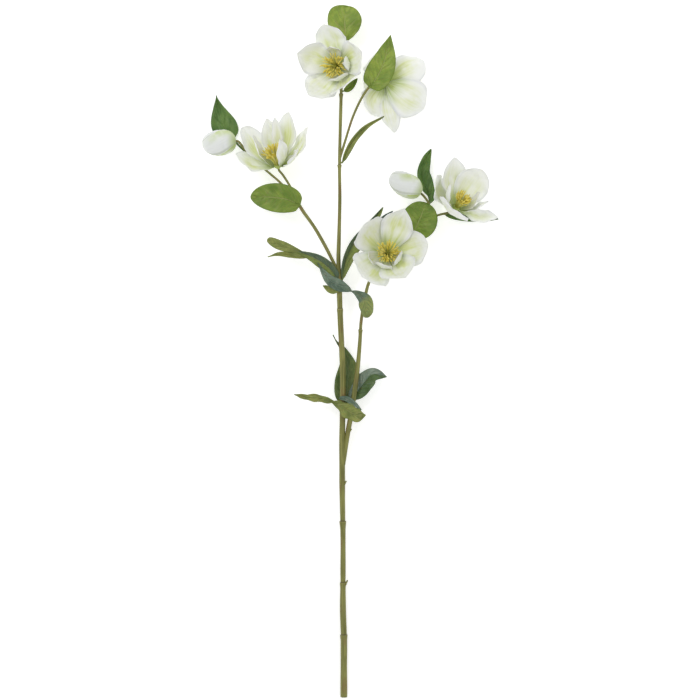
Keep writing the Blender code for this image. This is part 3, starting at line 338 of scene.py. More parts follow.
LEAVES = {
    "leaf_top": (
        Blade(
            spine=((-0.0077, 0.305, 0.0256), (-0.004, 0.32, 0.02), (-0.003, 0.339, 0.0185),
                   (-0.0052, 0.352, 0.0215), (-0.006, 0.368, 0.0225), (-0.002, 0.382, 0.016)),
            facings=(UP, (0.0, 0.1, 1.0), (0.0, 0.5, 1.0)), half_width=0.0188, fullest=0.54, blunt=0.46,
            point=0.42, stalk=0.5, wave=0.08,
        ),
    ),
    "leaf_over_bloom": (
        Blade(
            spine=((0.0212, 0.2893, 0.0423), (0.0305, 0.303, 0.047), (0.037, 0.3175, 0.0495),
                   (0.0409, 0.3325, 0.049), (0.044, 0.3465, 0.045)),
            facings=(UP, (0.1, 0.0, 1.0)), half_width=0.015, fullest=0.33, blunt=0.5, point=0.95,
        ),
    ),
    "leaf_under_top": (
        Blade(
            spine=((-0.0072, 0.287, 0.029), (-0.001, 0.2905, 0.03), (0.0079, 0.3008, 0.029)),
            facings=(UP,), half_width=0.0038, fold=0.4,
        ),
    ),
    "leaf_narrow": (
        Blade(
            spine=((-0.0087, 0.2085, 0.0281), (-0.0037, 0.2208, 0.0281), (0.0035, 0.2335, 0.03),
                   (0.0165, 0.247, 0.034), (0.0371, 0.2588, 0.036)),
            facings=((0.4, -0.2, 1.0),), half_width=0.0036, fold=0.6, blunt=0.9, fullest=0.3,
            point=0.65,
        ),
    ),
    "leaf_behind_left_bud": (
        Blade(
            spine=((-0.106, 0.212, 0.0078), (-0.118, 0.2237, 0.0052), (-0.13, 0.2365, 0.0022),
                   (-0.1402, 0.252, 0.0008), (-0.1458, 0.269, 0.0006), (-0.1484, 0.2847, 0.004)),
            facings=(UP,), half_width=0.014, fullest=0.32, blunt=0.5, point=1.25, stalk=0.4,
        ),
    ),
    "leaf_left_fork": (
        Blade(
            spine=((-0.055, 0.1616, 0.0247), (-0.0685, 0.1676, 0.029), (-0.0883, 0.1706, 0.03),
                   (-0.1095, 0.1709, 0.027)),
            facings=(UP, (0.0, -0.1, 1.0)), half_width=0.016, fullest=0.46, blunt=0.4, point=0.52,
        ),
    ),
    "leaf_behind_right_bud": (
        Blade(
            spine=((0.0874, 0.164, 0.0228), (0.0872, 0.172, 0.014), (0.083, 0.184, 0.008),
                   (0.0794, 0.1984, 0.0075), (0.0827, 0.2127, 0.008), (0.0893, 0.2248, 0.012)),
            facings=((0.5, 0.0, 1.0),), half_width=0.0085, fold=0.4, fullest=0.45, point=0.62,
        ),
    ),
    "leaf_right_fork": (
        Blade(
            spine=((0.0672, 0.1265, 0.0257), (0.072, 0.137, 0.0292), (0.077, 0.148, 0.03),
                   (0.083, 0.1645, 0.0285)),
            facings=(UP,), half_width=0.02, fullest=0.48, blunt=0.46, point=0.42,
        ),
    ),
    "leaf_under_right": (
        Blade(
            spine=((0.1045, 0.1518, 0.0183), (0.1229, 0.1518, 0.0126), (0.1427, 0.15, 0.011),
                   (0.1636, 0.147, 0.015)),
            facings=((0.0, -0.3, 1.0),), half_width=0.0062, fold=0.3,
        ),
    ),
    "leaf_cluster_left": (
        Blade(
            spine=((-0.014, 0.0815, 0.0259), (-0.0225, 0.0915, 0.0264), (-0.033, 0.1, 0.0266),
                   (-0.046, 0.1065, 0.0262), (-0.06, 0.1118, 0.0245)),
            facings=((0.2, -0.5, 1.0), UP), half_width=0.0068, fullest=0.36, blunt=0.45, point=0.95,
            wave=0.18,
        ),
        Blade(
            spine=((-0.042, 0.105, 0.0266), (-0.0545, 0.1105, 0.0252), (-0.068, 0.115, 0.024),
                   (-0.08, 0.119, 0.0232), (-0.0912, 0.1248, 0.0225)),
            facings=(UP,), half_width=0.0054, fullest=0.68, blunt=0.9, point=0.32, wave=0.1,
        ),
        Blade(
            spine=((-0.044, 0.105, 0.0262), (-0.0545, 0.106, 0.0248), (-0.067, 0.1075, 0.0235),
                   (-0.079, 0.1082, 0.0225), (-0.091, 0.1052, 0.0205)),
            facings=(UP,), half_width=0.0034, fullest=0.4, blunt=0.9, point=1.0,
        ),
    ),
    "leaf_cluster_front": (
        Blade(
            spine=((-0.0358, 0.099, 0.0281), (-0.03, 0.089, 0.0277), (-0.0225, 0.0795, 0.028),
                   (-0.013, 0.074, 0.0276), (-0.004, 0.07, 0.0271), (0.002, 0.067, 0.0268)),
            facings=((0.2, 0.0, 1.0), (0.0, 0.1, 1.0)), half_width=0.0066, fullest=0.64, blunt=0.75,
            point=0.85, cup=-0.04,
        ),
        Blade(
            spine=((0.0, 0.0678, 0.0269), (0.008, 0.0644, 0.0266), (0.0152, 0.058, 0.0268),
                   (0.018, 0.048, 0.027), (0.0178, 0.0382, 0.025)),
            facings=((0.1, 0.4, 1.0), (0.3, 0.1, 1.0)), half_width=0.0082, fullest=0.6, blunt=0.8,
            point=0.42, wave=0.12,
        ),
        Blade(
            spine=((-0.011, 0.0715, 0.0272), (-0.02, 0.0685, 0.0265), (-0.03, 0.0735, 0.0252)),
            facings=(UP,), half_width=0.0042,
        ),
    ),
    "leaf_cluster_right": (
        Blade(
            spine=((-0.0087, 0.08, 0.0225), (-0.0068, 0.0928, 0.0232), (-0.002, 0.1075, 0.0225),
                   (0.0065, 0.1215, 0.02), (0.021, 0.139, 0.0175), (0.0362, 0.16, 0.016)),
            facings=((0.6, -0.2, 1.0), (0.4, -0.3, 1.0)), half_width=0.0078, fullest=0.45, blunt=0.7,
            fold=0.35,
        ),
        Blade(
            spine=((0.015, 0.13, 0.0184), (0.031, 0.1425, 0.017), (0.047, 0.1561, 0.0165)),
            facings=((0.3, -0.3, 1.0),), half_width=0.0045,
        ),
    ),
    "leaf_lower_back": (
        Blade(
            spine=((-0.0064, -0.057, 0.0107), (-0.004, -0.044, 0.008), (-0.0025, -0.028, 0.0072),
                   (-0.003, -0.012, 0.0082), (-0.008, 0.003, 0.0098), (-0.015, 0.0118, 0.0115),
                   (-0.0192, 0.0195, 0.013)),
            facings=(UP,), half_width=0.0145, fullest=0.28, blunt=0.6, point=1.7, cup=0.1,
        ),
    ),
    "leaf_lower_right": (
        Blade(
            spine=((-0.0012, -0.05, 0.0117), (0.0075, -0.044, 0.0106), (0.017, -0.032, 0.015),
                   (0.026, -0.0245, 0.018), (0.0403, -0.027, 0.013)),
            facings=((-0.3, 0.2, 1.0), (-0.2, 0.1, 1.0), (0.4, -0.1, 1.0)), half_width=0.0108,
            fullest=0.42, blunt=0.6, point=0.9, wave=0.1,
        ),
    ),
    "leaf_lower_front": (
        Blade(
            spine=((-0.017, -0.0545, 0.0193), (-0.027, -0.0525, 0.018), (-0.038, -0.05, 0.0172),
                   (-0.048, -0.0495, 0.0168), (-0.062, -0.0464, 0.015)),
            facings=((0.0, -0.3, 1.0), UP), half_width=0.0047, fullest=0.42, blunt=0.8, wave=0.35,
            teeth=3,
        ),
        Blade(
            spine=((-0.023, -0.0538, 0.0188), (-0.014, -0.057, 0.019), (-0.006, -0.062, 0.0194),
                   (0.002, -0.067, 0.0192), (0.009, -0.0695, 0.0184), (0.017, -0.0694, 0.0165)),
            facings=((0.1, 0.0, 1.0), (0.1, -0.3, 1.0)), half_width=0.0098, fullest=0.62, blunt=0.75,
            point=0.85, wave=0.16, teeth=3,
        ),
        Blade(
            spine=((-0.0125, -0.05, 0.0198), (-0.004, -0.0515, 0.0205), (0.005, -0.057, 0.0205),
                   (0.0122, -0.0635, 0.0192)),
            facings=((0.3, 0.5, 1.0),), half_width=0.0034, blunt=0.6,
        ),
    ),
}

# Colours of flowers, buds and stem, as linear red, green and blue; a pair is the darker and the lighter
PETAL_WHITE, FLUSH_GREEN = (0.9, 0.915, 0.885), (0.7, 0.755, 0.36)
# RIM_SHADE_GREY is painted shade: a grey band mixed into the petal rims
BASE_GREEN, RIM_SHADE_GREY = (0.36, 0.47, 0.1), (0.62, 0.64, 0.66)
RECEPTACLE_GREENS = (0.3, 0.4, 0.07), (0.48, 0.56, 0.16)
BOSS_OLIVES = (0.22, 0.22, 0.02), (0.46, 0.44, 0.06)
FILAMENT_LIMES = (0.66, 0.63, 0.12), (0.84, 0.8, 0.3)
ANTHER_GOLDS = (0.76, 0.63, 0.08), (0.92, 0.82, 0.24)
ANTHER_GRAIN, FILAMENT_FOOT = (0.5, 0.4, 0.03), (0.42, 0.42, 0.05)
CARPEL_GREENS = (0.3, 0.32, 0.03), (0.6, 0.6, 0.14)
BUD_WHITE, BUD_FLUSH, BUD_BASE = (0.76, 0.78, 0.76), (0.52, 0.62, 0.24), (0.4, 0.5, 0.15)
# BUD_CREASE_SHADE is painted shade for the crease under each wrapped bud petal
BUD_CREASE_SHADE, BUD_STREAK = (0.42, 0.46, 0.34), (0.6, 0.62, 0.62)
STEM_OLIVES = (0.125, 0.125, 0.022), (0.27, 0.27, 0.07)
STEM_RUST, JOINT_PALE, JOINT_DARK = (0.2, 0.1, 0.035), (0.42, 0.42, 0.17), (0.09, 0.07, 0.02)
SCATTER = (1.0, 1.0, 0.8)

# Looks of the leaf blades: dark and light green, rib, roughness, and the tint of the other half
LeafLook = namedtuple("LeafLook", "deep light rib roughness far outer", defaults=(0.5, None, False))
LEAF_LOOKS = {
    "lime": LeafLook((0.14, 0.22, 0.022), (0.3, 0.4, 0.055), (0.36, 0.37, 0.14)),
    "meadow": LeafLook((0.105, 0.185, 0.015), (0.22, 0.31, 0.04), (0.3, 0.34, 0.11)),
    "fresh": LeafLook((0.05, 0.125, 0.018), (0.13, 0.23, 0.04), (0.18, 0.27, 0.08), 0.46),
    "olive": LeafLook((0.14, 0.18, 0.035), (0.33, 0.36, 0.09), (0.4, 0.4, 0.18)),
    "blue grey": LeafLook((0.06, 0.11, 0.07), (0.23, 0.3, 0.22), (0.3, 0.36, 0.28), 0.36),
    "shade": LeafLook((0.06, 0.11, 0.022), (0.19, 0.25, 0.06), (0.22, 0.28, 0.13), 0.42),
    "back": LeafLook((0.03, 0.055, 0.045), (0.09, 0.14, 0.12), (0.16, 0.2, 0.17), 0.4),
    "glossy": LeafLook((0.09, 0.14, 0.09), (0.27, 0.34, 0.26), (0.05, 0.1, 0.03), 0.3, (0.09, 0.16, 0.035)),
    "two tone": LeafLook((0.05, 0.09, 0.04), (0.1, 0.15, 0.07), (0.3, 0.34, 0.12), 0.44, (0.27, 0.33, 0.07)),
    "turned": LeafLook((0.12, 0.17, 0.03), (0.24, 0.3, 0.07), (0.33, 0.36, 0.13), 0.44, (0.07, 0.12, 0.09)),
    "hanging": LeafLook(
        (0.06, 0.11, 0.07), (0.2, 0.26, 0.19), (0.36, 0.38, 0.16), 0.4, (0.3, 0.36, 0.09), True
    ),
}

# The look of each blade of a leaf, in the order of its blades
BLADE_LOOKS = {
    "leaf_top": ("lime",),
    "leaf_over_bloom": ("lime",),
    "leaf_narrow": ("olive",),
    "leaf_left_fork": ("meadow",),
    "leaf_right_fork": ("meadow",),
    "leaf_under_top": ("meadow",),
    "leaf_behind_left_bud": ("fresh",),
    "leaf_behind_right_bud": ("fresh",),
    "leaf_under_right": ("fresh",),
    "leaf_cluster_left": ("turned", "olive", "olive"),
    "leaf_cluster_right": ("two tone", "back"),
    "leaf_cluster_front": ("blue grey", "hanging", "olive"),
    "leaf_lower_back": ("shade",),
    "leaf_lower_right": ("glossy",),
    "leaf_lower_front": ("olive", "olive", "blue grey"),
}


def unit(vector):
    vector = np.asarray(vector, float)
    return vector / np.linalg.norm(vector)


def smooth_curve(points, places):
    """Points at the given shares of the length of a Catmull-Rom curve through the rows."""
    rows = np.asarray(points, float)
    knots = np.vstack([2 * rows[0] - rows[1], rows, 2 * rows[-1] - rows[-2]])
    fine = []
    for i in range(len(rows) - 1):
        p0, p1, p2, p3 = knots[i : i + 4]
        for t in np.linspace(0, 1, CURVE_STEPS, endpoint=False):
            bend = (2 * p0 - 5 * p1 + 4 * p2 - p3) * t**2
            turn = (3 * p1 - p0 - 3 * p2 + p3) * t**3
            fine.append(0.5 * (2 * p1 + (p2 - p0) * t + bend + turn))
    fine = np.array(fine + [rows[-1]])
    along = np.concatenate([[0], np.cumsum(np.linalg.norm(np.diff(fine[:, :3], axis=0), axis=1))])
    wanted = np.asarray(places) * along[-1]
    return np.stack([np.interp(wanted, along, fine[:, k]) for k in range(fine.shape[1])], axis=1)


def ripple_noise(seed, waves, across, along):
    """Smooth noise on a grid as a sum of a few slanted waves, the same for the same seed."""
    draw = random.Random(seed)
    total = np.zeros(np.broadcast(across, along).shape)
    for _ in range(waves):
        fast, slow = draw.uniform(-2.2, 2.2), draw.uniform(1.5, 7.0)
        total = total + np.sin(math.tau * (fast * across + slow * along + draw.random())) / waves**0.5
    return total


class Sheets:
    """Gathers grids of points into one mesh, with two UV maps that the materials read.

    The shape map holds the place across and along a blade, and the mark map a number for each blade.
    """

    def __init__(self):
        self.points, self.faces, self.shape, self.mark, self.slots = [], [], [], [], []

    def grid(self, points, across, along, mark=(0.5, 0.5), closed=False, slot=0):
        """Adds rows of points as quads; across, along and mark are numbers or arrays that fit the grid."""
        rows, columns = points.shape[:2]
        first = len(self.points)
        self.points += [tuple(point) for point in points.reshape(-1, 3)]
        for kept, pair in ((self.shape, (across, along)), (self.mark, mark)):
            kept += zip(*(np.broadcast_to(value, (rows, columns)).ravel() for value in pair))
        around = columns if closed else columns - 1
        for i in range(rows - 1):
            for j in range(around):
                k = (j + 1) % columns
                a, b = first + i * columns + j, first + i * columns + k
                self.faces.append((a, b, b + columns, a + columns))
                self.slots.append(slot)
        return first, rows, columns

    def cap(self, first, rows, columns, slot=0):
        """Closes both ends of a tube that grid() made."""
        last = first + (rows - 1) * columns
        self.faces.append(tuple(range(first + columns - 1, first - 1, -1)))
        self.faces.append(tuple(range(last, last + columns)))
        self.slots += [slot, slot]

    def object(self, name, materials, thickness=0.0):
        mesh = bpy.data.meshes.new(name)
        mesh.from_pydata([tuple(map(float, point)) for point in self.points], [], self.faces)
        mesh.update()
        corners = np.empty(len(mesh.loops), int)
        mesh.loops.foreach_get("vertex_index", corners)
        for label, values in (("shape", self.shape), ("mark", self.mark)):
            layer = mesh.uv_layers.new(name=label)
            layer.data.foreach_set("uv", np.asarray(values, float)[corners].ravel())
        mesh.polygons.foreach_set("material_index", self.slots)
        mesh.shade_smooth()
        obj = bpy.data.objects.new(name, mesh)
        bpy.context.scene.collection.objects.link(obj)
        for material in materials:
            mesh.materials.append(material)
        if thickness:
            shell = obj.modifiers.new("thickness", "SOLIDIFY")
            shell.thickness = thickness
            shell.offset = 0.0
        return obj


def outline(s, blade, least):
    """Half width at s along the blade, as a share of its full half width."""
    if s <= blade.stalk and blade.stalk:
        return STALK_HALF_WIDTH / blade.half_width
    share = (s - blade.stalk) / (1 - blade.stalk)
    skew = math.log(0.5) / math.log(blade.fullest)
    power = blade.blunt if share < blade.fullest else blade.point
    width = max(math.sin(math.pi * share**skew), 0.0) ** power
    if blade.teeth:
        width *= 1 - TOOTH_DEPTH * math.cos(math.pi * blade.teeth * share) ** 2
    return max(width, least / blade.half_width)


def blade_grid(blade, places, across, least, detail):
    """Grid of points of a blade; detail(s, t, half) adds the small relief to its lift."""
    spine = smooth_curve(blade.spine, places)
    tangents = np.gradient(spine, axis=0)
    facings = np.asarray(blade.facings, float)
    grid = np.zeros((len(places), len(across), 3))
    for i, s in enumerate(places):
        ahead = unit(tangents[i])
        mark = s * (len(facings) - 1)
        low = min(int(mark), max(len(facings) - 2, 0))
        high = min(low + 1, len(facings) - 1)
        face = facings[low] + (facings[high] - facings[low]) * (mark - low)
        side = unit(np.cross(ahead, face))
        up = np.cross(side, ahead)
        half = blade.half_width * outline(s, blade, least)
        phase = math.tau * WAVES_ALONG * s + np.where(across > 0, WAVE_LAG, 0.0)
        fade = min(1.0, FADE_AT_TIP * (1 - s)) * min(1.0, FADE_AT_BASE * s)
        ripple = blade.wave * blade.half_width * np.sin(phase) * fade * across**2
        lift = half * (blade.cup * across**2 + blade.fold * abs(across)) + ripple + detail(s, across, half)
        grid[i] = spine[i] + side * (half * across)[:, None] + up * lift[:, None]
    return grid


def petal_blade(bloom, petal):
    """The same spine, width and cup as the solid petal."""
    centre, axis = np.array(bloom.centre), unit(bloom.axis)
    angle = math.radians(petal.azimuth)
    tip = centre + (petal.reach * math.cos(angle), petal.reach * math.sin(angle), petal.rise)
    outward = unit(tip - centre - axis * np.dot(tip - centre, axis))
    back = LAYER_STEP * petal.layer
    root_radius = INNER_ROOT_RADIUS if petal.layer < 0 else PETAL_ROOT_RADIUS
    root = centre + outward * root_radius - axis * (PETAL_ROOT_DEPTH + 0.4 * back)
    shoulder = centre + outward * PETAL_SHOULDER - axis * back
    facing = axis - outward * PETAL_FACING_IN
    chord = tip - root
    inside = unit(facing - chord * np.dot(facing, chord) / np.dot(chord, chord))
    stand_out = petal.bulge * np.linalg.norm(chord) + back
    return Blade(
        spine=(root, shoulder, root + chord * PETAL_MIDDLE - inside * stand_out, tip),
        facings=(facing,),
        half_width=petal.half_width,
        fullest=PETAL_FULLEST,
        blunt=PETAL_BLUNT,
        point=petal.point,
        cup=LAYER_CUPS[petal.layer],
    )


def add_petal(sheets, bloom, petal, flush, seed):
    """One petal with a crease along its middle, a ruffled edge and a crinkled face."""
    blade = petal_blade(bloom, petal)
    inner = petal.layer < 0
    rows = INNER_ROWS if inner else PETAL_ROWS
    places = 1 - (1 - np.linspace(0, 1, rows + 1)) ** PETAL_TIP_CROWDING
    across = np.linspace(-1, 1, PETAL_COLUMNS + 1)
    across = across * (1 - PETAL_RIM_CROWDING + PETAL_RIM_CROWDING * abs(across))
    draw = random.Random(seed)
    phase, waves = draw.uniform(0, RUFFLE_PHASES), draw.uniform(*RUFFLE_WAVES)
    ruffle = INNER_RUFFLE if inner else OUTER_RUFFLE

    def detail(s, t, half):
        wave = np.sin(phase + math.tau * waves * s + RUFFLE_LAG * np.sign(t))
        edge = ruffle * abs(t) ** 3 * wave * math.sin(math.pi * s) ** 0.5
        crease = -CREASE_DEPTH * np.exp(-((t / CREASE_WIDTH) ** 2)) * math.sin(math.pi * min(s * 1.15, 1.0))
        noise = ripple_noise(seed + 7, CRINKLE_WAVES, 1.6 * t, np.full_like(t, 1.1 * s))
        return edge + crease + CRINKLE_DEPTH * noise * min(1.0, 4 * s)

    grid = blade_grid(blade, places, across, LEAST_HALF_WIDTH, detail)
    mark = (draw.random(), INNER_FLUSH * flush if inner else flush)
    sheets.grid(grid, (across + 1) / 2, places[:, None], mark)


def ring_points(centre, first, second, radii, angles):
    """Points round a centre, in the plane of two directions."""
    return centre + np.outer(radii * np.cos(angles), first) + np.outer(radii * np.sin(angles), second)


def frame_of(axis):
    """The unit axis and two directions square to it."""
    axis = unit(axis)
    first = unit(np.cross(axis, OFF_AXIS))
    return axis, first, np.cross(axis, first)


def add_turned(sheets, centre, axis, profile, sides, along, slot=0, mark=(0.5, 0.5)):
    """A form turned round an axis from (height, radius) pairs, closed at its ends."""
    axis, first, second = frame_of(axis)
    angles = np.linspace(0, math.tau, sides, endpoint=False)
    rows = []
    for height, radius in profile:
        middle = np.asarray(centre) + axis * height
        rows.append(ring_points(middle, first, second, np.full(sides, radius), angles))
    made = sheets.grid(np.array(rows), 0.5, along, mark, closed=True, slot=slot)
    sheets.cap(*made, slot=slot)


def add_tube(sheets, points, radii, sides, mark=(0.5, 0.5), slot=0, along=None):
    """A closed tube along the points, whose rings turn as little as they can."""
    points = np.asarray(points, float)
    tangents = np.gradient(points, axis=0)
    hint = unit(np.cross(unit(tangents[0]), OFF_AXIS))
    angles = np.linspace(0, math.tau, sides, endpoint=False)
    rings = []
    for point, tangent, radius in zip(points, tangents, radii):
        ahead = unit(tangent)
        hint = unit(hint - ahead * np.dot(hint, ahead))
        rings.append(ring_points(point, hint, np.cross(ahead, hint), np.broadcast_to(radius, sides), angles))
    if along is None:
        along = np.linspace(0, 1, len(points))
    around = np.arange(sides) / sides
    made = sheets.grid(np.array(rings), around, np.asarray(along)[:, None], mark, closed=True, slot=slot)
    sheets.cap(*made, slot=slot)


def make_petals(name, bloom, material, green):
    """The petals of a bloom, and the receptacle that they grow from."""
    sheets = Sheets()
    for index, petal in enumerate(bloom.petals + bloom.inner):
        add_petal(sheets, bloom, petal, PETAL_FLUSH[name], seed=101 * index + len(name))
    petals = sheets.object(f"petals_{name}_look", [material], PETAL_THICKNESS)
    sheets = Sheets()
    profile = [
        (-RECEPTACLE_DEPTH, RECEPTACLE_NECK),
        (-0.75 * RECEPTACLE_DEPTH, 0.62 * RECEPTACLE_RADIUS),
        (-0.5 * RECEPTACLE_DEPTH, 0.85 * RECEPTACLE_RADIUS),
        (-0.2 * RECEPTACLE_DEPTH, RECEPTACLE_RADIUS),
        (RECEPTACLE_TOP, 0.92 * RECEPTACLE_RADIUS),
    ]
    add_turned(sheets, bloom.centre, bloom.axis, profile, 28, 0.5)
    receptacle = sheets.object(f"receptacle_{name}_look", [green])
    for piece in (petals, receptacle):
        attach(piece, "root")
    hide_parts(f"petals_{name}")


def make_stamens(name, bloom, material, dark, seed):
    """A dense ring of bowed stamens, each with a long anther, on a dark boss."""
    sheets = Sheets()
    draw = random.Random(seed)
    axis, first, second = frame_of(bloom.axis)
    centre = np.array(bloom.centre)
    profile = (
        (RECEPTACLE_TOP, 0.9 * BOSS_RADIUS),
        (0.5 * BOSS_TOP, BOSS_RADIUS),
        (BOSS_TOP, 0.86 * BOSS_RADIUS),
    )
    add_turned(sheets, centre, axis, profile, 24, 0.5, slot=1)
    places, radii = zip(*STAMEN_PROFILE)
    for index in range(STAMEN_COUNT):
        share = ((STAMEN_STEP * index) % STAMEN_COUNT + 0.5) / STAMEN_COUNT
        angle = math.tau * (index + draw.uniform(-0.3, 0.3)) / STAMEN_COUNT
        outward = math.cos(angle) * first + math.sin(angle) * second
        sideways = np.cross(axis, outward)
        spread = bloom.stamen_spread - STAMEN_LEAN_OUT
        lean = math.radians(STAMEN_LEAN_IN + spread * share**0.6 + draw.uniform(-4, 4))
        length = bloom.stamen_length * draw.uniform(0.8, 1.04)
        foot = STAMEN_ROOT_NEAR + STAMEN_ROOT_BAND * share
        root = centre + axis * (BOSS_TOP - STAMEN_ROOT_SINK) + outward * foot
        along = math.cos(lean) * axis + math.sin(lean) * outward + sideways * draw.uniform(-0.12, 0.12)
        along = unit(along)
        bow = (axis - outward) * draw.uniform(0.0004, 0.0014) + sideways * draw.uniform(-0.0008, 0.0008)
        points = [root + along * length * s + bow * math.sin(math.pi * s) for s in places]
        add_tube(sheets, points, radii, 7, mark=(draw.random(), 0.5), along=places)
    stamens = sheets.object(f"stamens_{name}_look", [material, dark])
    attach(stamens, "root")
    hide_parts(f"stamens_{name}")


def make_carpels(name, bloom, material):
    """A small cluster of slim carpels in the middle of a bloom."""
    sheets = Sheets()
    axis, first, second = frame_of(bloom.axis)
    foot = np.array(bloom.centre) + axis * (BOSS_TOP - CARPEL_SINK)
    for index in range(CARPEL_COUNT):
        angle = math.tau * index / CARPEL_COUNT
        outward = math.cos(angle) * first + math.sin(angle) * second
        shares, spread, radii = zip(*CARPEL_PROFILE)
        points = [foot + axis * (s * CARPEL_HEIGHT) + outward * out for s, out in zip(shares, spread)]
        add_tube(sheets, points, radii, 9, mark=(0.3, 0.5))
    carpels = sheets.object(f"carpels_{name}_look", [material])
    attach(carpels, "root")
    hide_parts(f"carpels_{name}")


def make_bud(name, bud, material):
    """Closed bud: a blunt egg with the steps of its wrapped petals, as on the solid but finer."""
    sheets = Sheets()
    base, tip = np.array(bud.base), np.array(bud.tip)
    axis, first, second = frame_of(tip - base)
    length = np.linalg.norm(tip - base)
    turns = np.arange(BUD_SIDES) / BUD_SIDES
    wrap = (turns * BUD_PETALS) % 1.0
    step = np.clip(wrap / BUD_LIP_WIDTH, 0, 1)
    rows = []
    places = BUD_FIRST + BUD_SPAN * (0.5 - 0.5 * np.cos(math.pi * np.linspace(0, 1, BUD_RINGS + 1)))
    for s in places:
        swell = math.sin(math.pi * s**BUD_SKEW) ** BUD_BLUNT
        angles = math.tau * (turns - BUD_TWIST * s / BUD_PETALS)
        lip = BUD_LIP * ((wrap - 0.5) * step + 0.5 * (1 - step)) * math.sqrt(math.sin(math.pi * s))
        crinkle = BUD_CRINKLE * ripple_noise(3, 6, 2 * turns, np.full_like(turns, 1.3 * s))
        radii = bud.radius * swell * (1 - 0.5 * BUD_LIP + lip + crinkle * swell)
        rows.append(ring_points(base + axis * length * s, first, second, radii, angles))
    made = sheets.grid(np.array(rows), wrap, places[:, None], closed=True)
    sheets.cap(*made)
    piece = sheets.object(f"bud_{name}_look", [material])
    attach(piece, "root")
    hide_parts(f"bud_{name}")


def stem_rows(run):
    """Rows of a run, carried on into the flower or bud at its end."""
    rows = [list(row) for row in STEM_RUNS[run]]
    last = rows[-1][3]
    if run in CARRIED_BLOOMS:
        bloom = BLOOMS[CARRIED_BLOOMS[run]]
        axis = unit(bloom.axis)
        for back in (RECEPTACLE_DEPTH + 0.0033, RECEPTACLE_DEPTH - 0.0015):
            rows.append([*(np.array(bloom.centre) - axis * back), last])
    elif run in CARRIED_BUDS:
        bud = BUDS[CARRIED_BUDS[run]]
        axis = unit(np.array(bud.tip) - np.array(bud.base))
        for forward in (-0.0025, 0.002):
            rows.append([*(np.array(bud.base) + axis * forward), last])
    return np.array(rows)


def fine_run(run):
    """Closely spaced rows of a run, closest at its knuckles, and how far along it each one is."""
    rows = stem_rows(run)
    length = np.linalg.norm(np.diff(rows[:, :3], axis=0), axis=1).sum()
    count = max(int(length / STEM_RING_STEP), 8)
    places = list(np.linspace(0, 1, count + 1))
    shares = np.linspace(0, 1, 600)
    heights = smooth_curve(rows, shares)[:, 1]
    for owner, y, _, half in KNUCKLES:
        if owner == run:
            places += [np.interp(y + half * step, heights, shares) for step in NODE_RINGS]
    places = np.array(sorted(set(places)))
    return smooth_curve(rows, places), places * length


def knuckle_at(run, y):
    """Swelling of a run at y, and its joint: over 0 on the pale lip, under 0 in the dark groove."""
    swell = joint = 0.0
    for owner, middle, height, half in KNUCKLES:
        if owner != run:
            continue
        away = (y - middle) / half
        if away <= 0:
            swell += height * math.exp(-(away**2))
            joint += max(1 + PALE_FALL * away, 0)
        else:
            swell += height * (LIP_SHARE * math.exp(-((away / LIP_LENGTH) ** 2)) - SINK_SHARE)
            swell += SINK_SHARE * height * min(max(away - 1, 0), 1)
            joint -= max(1 - GROOVE_FALL * away, 0)
    return swell, joint


def make_stem(material):
    """The stem with its branches, flower stalks and stubs."""
    sheets = Sheets()
    for number, run in enumerate(STEM_RUNS):
        curve, along = fine_run(run)
        turns = np.arange(STEM_SIDES) / STEM_SIDES
        radii, joints = [], []
        for place, row in zip(along, curve):
            swell, joint = knuckle_at(run, row[1])
            ribs = RIB_DEPTH * np.sin(math.tau * RIB_COUNT * turns + RIB_TURN * place)
            wobble = WOBBLE_DEPTH * math.sin(WOBBLE_RATE * place + number)
            radii.append((row[3] + swell) * (1 + ribs + wobble))
            joints.append([joint])
        mark = (number / len(STEM_RUNS), np.array(joints))
        add_tube(sheets, curve[:, :3], radii, STEM_SIDES, mark=mark, along=along * 10)
    for root, tip in STUBS:
        points = np.linspace(root, tip, 5)
        add_tube(sheets, points, np.linspace(*STUB_RADII, 5), 10, mark=(0.7, 0.0))
    stem = sheets.object("stem_look", [material])
    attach(stem, "root")
    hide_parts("stem")


def nearest_on_stem(point):
    """Nearest point of the stem's middle lines, where a leaf's stalk grows from."""
    lines = np.vstack([fine_run(run)[0][:, :3] for run in STEM_RUNS])
    return lines[np.argmin(np.linalg.norm(lines - point, axis=1))]


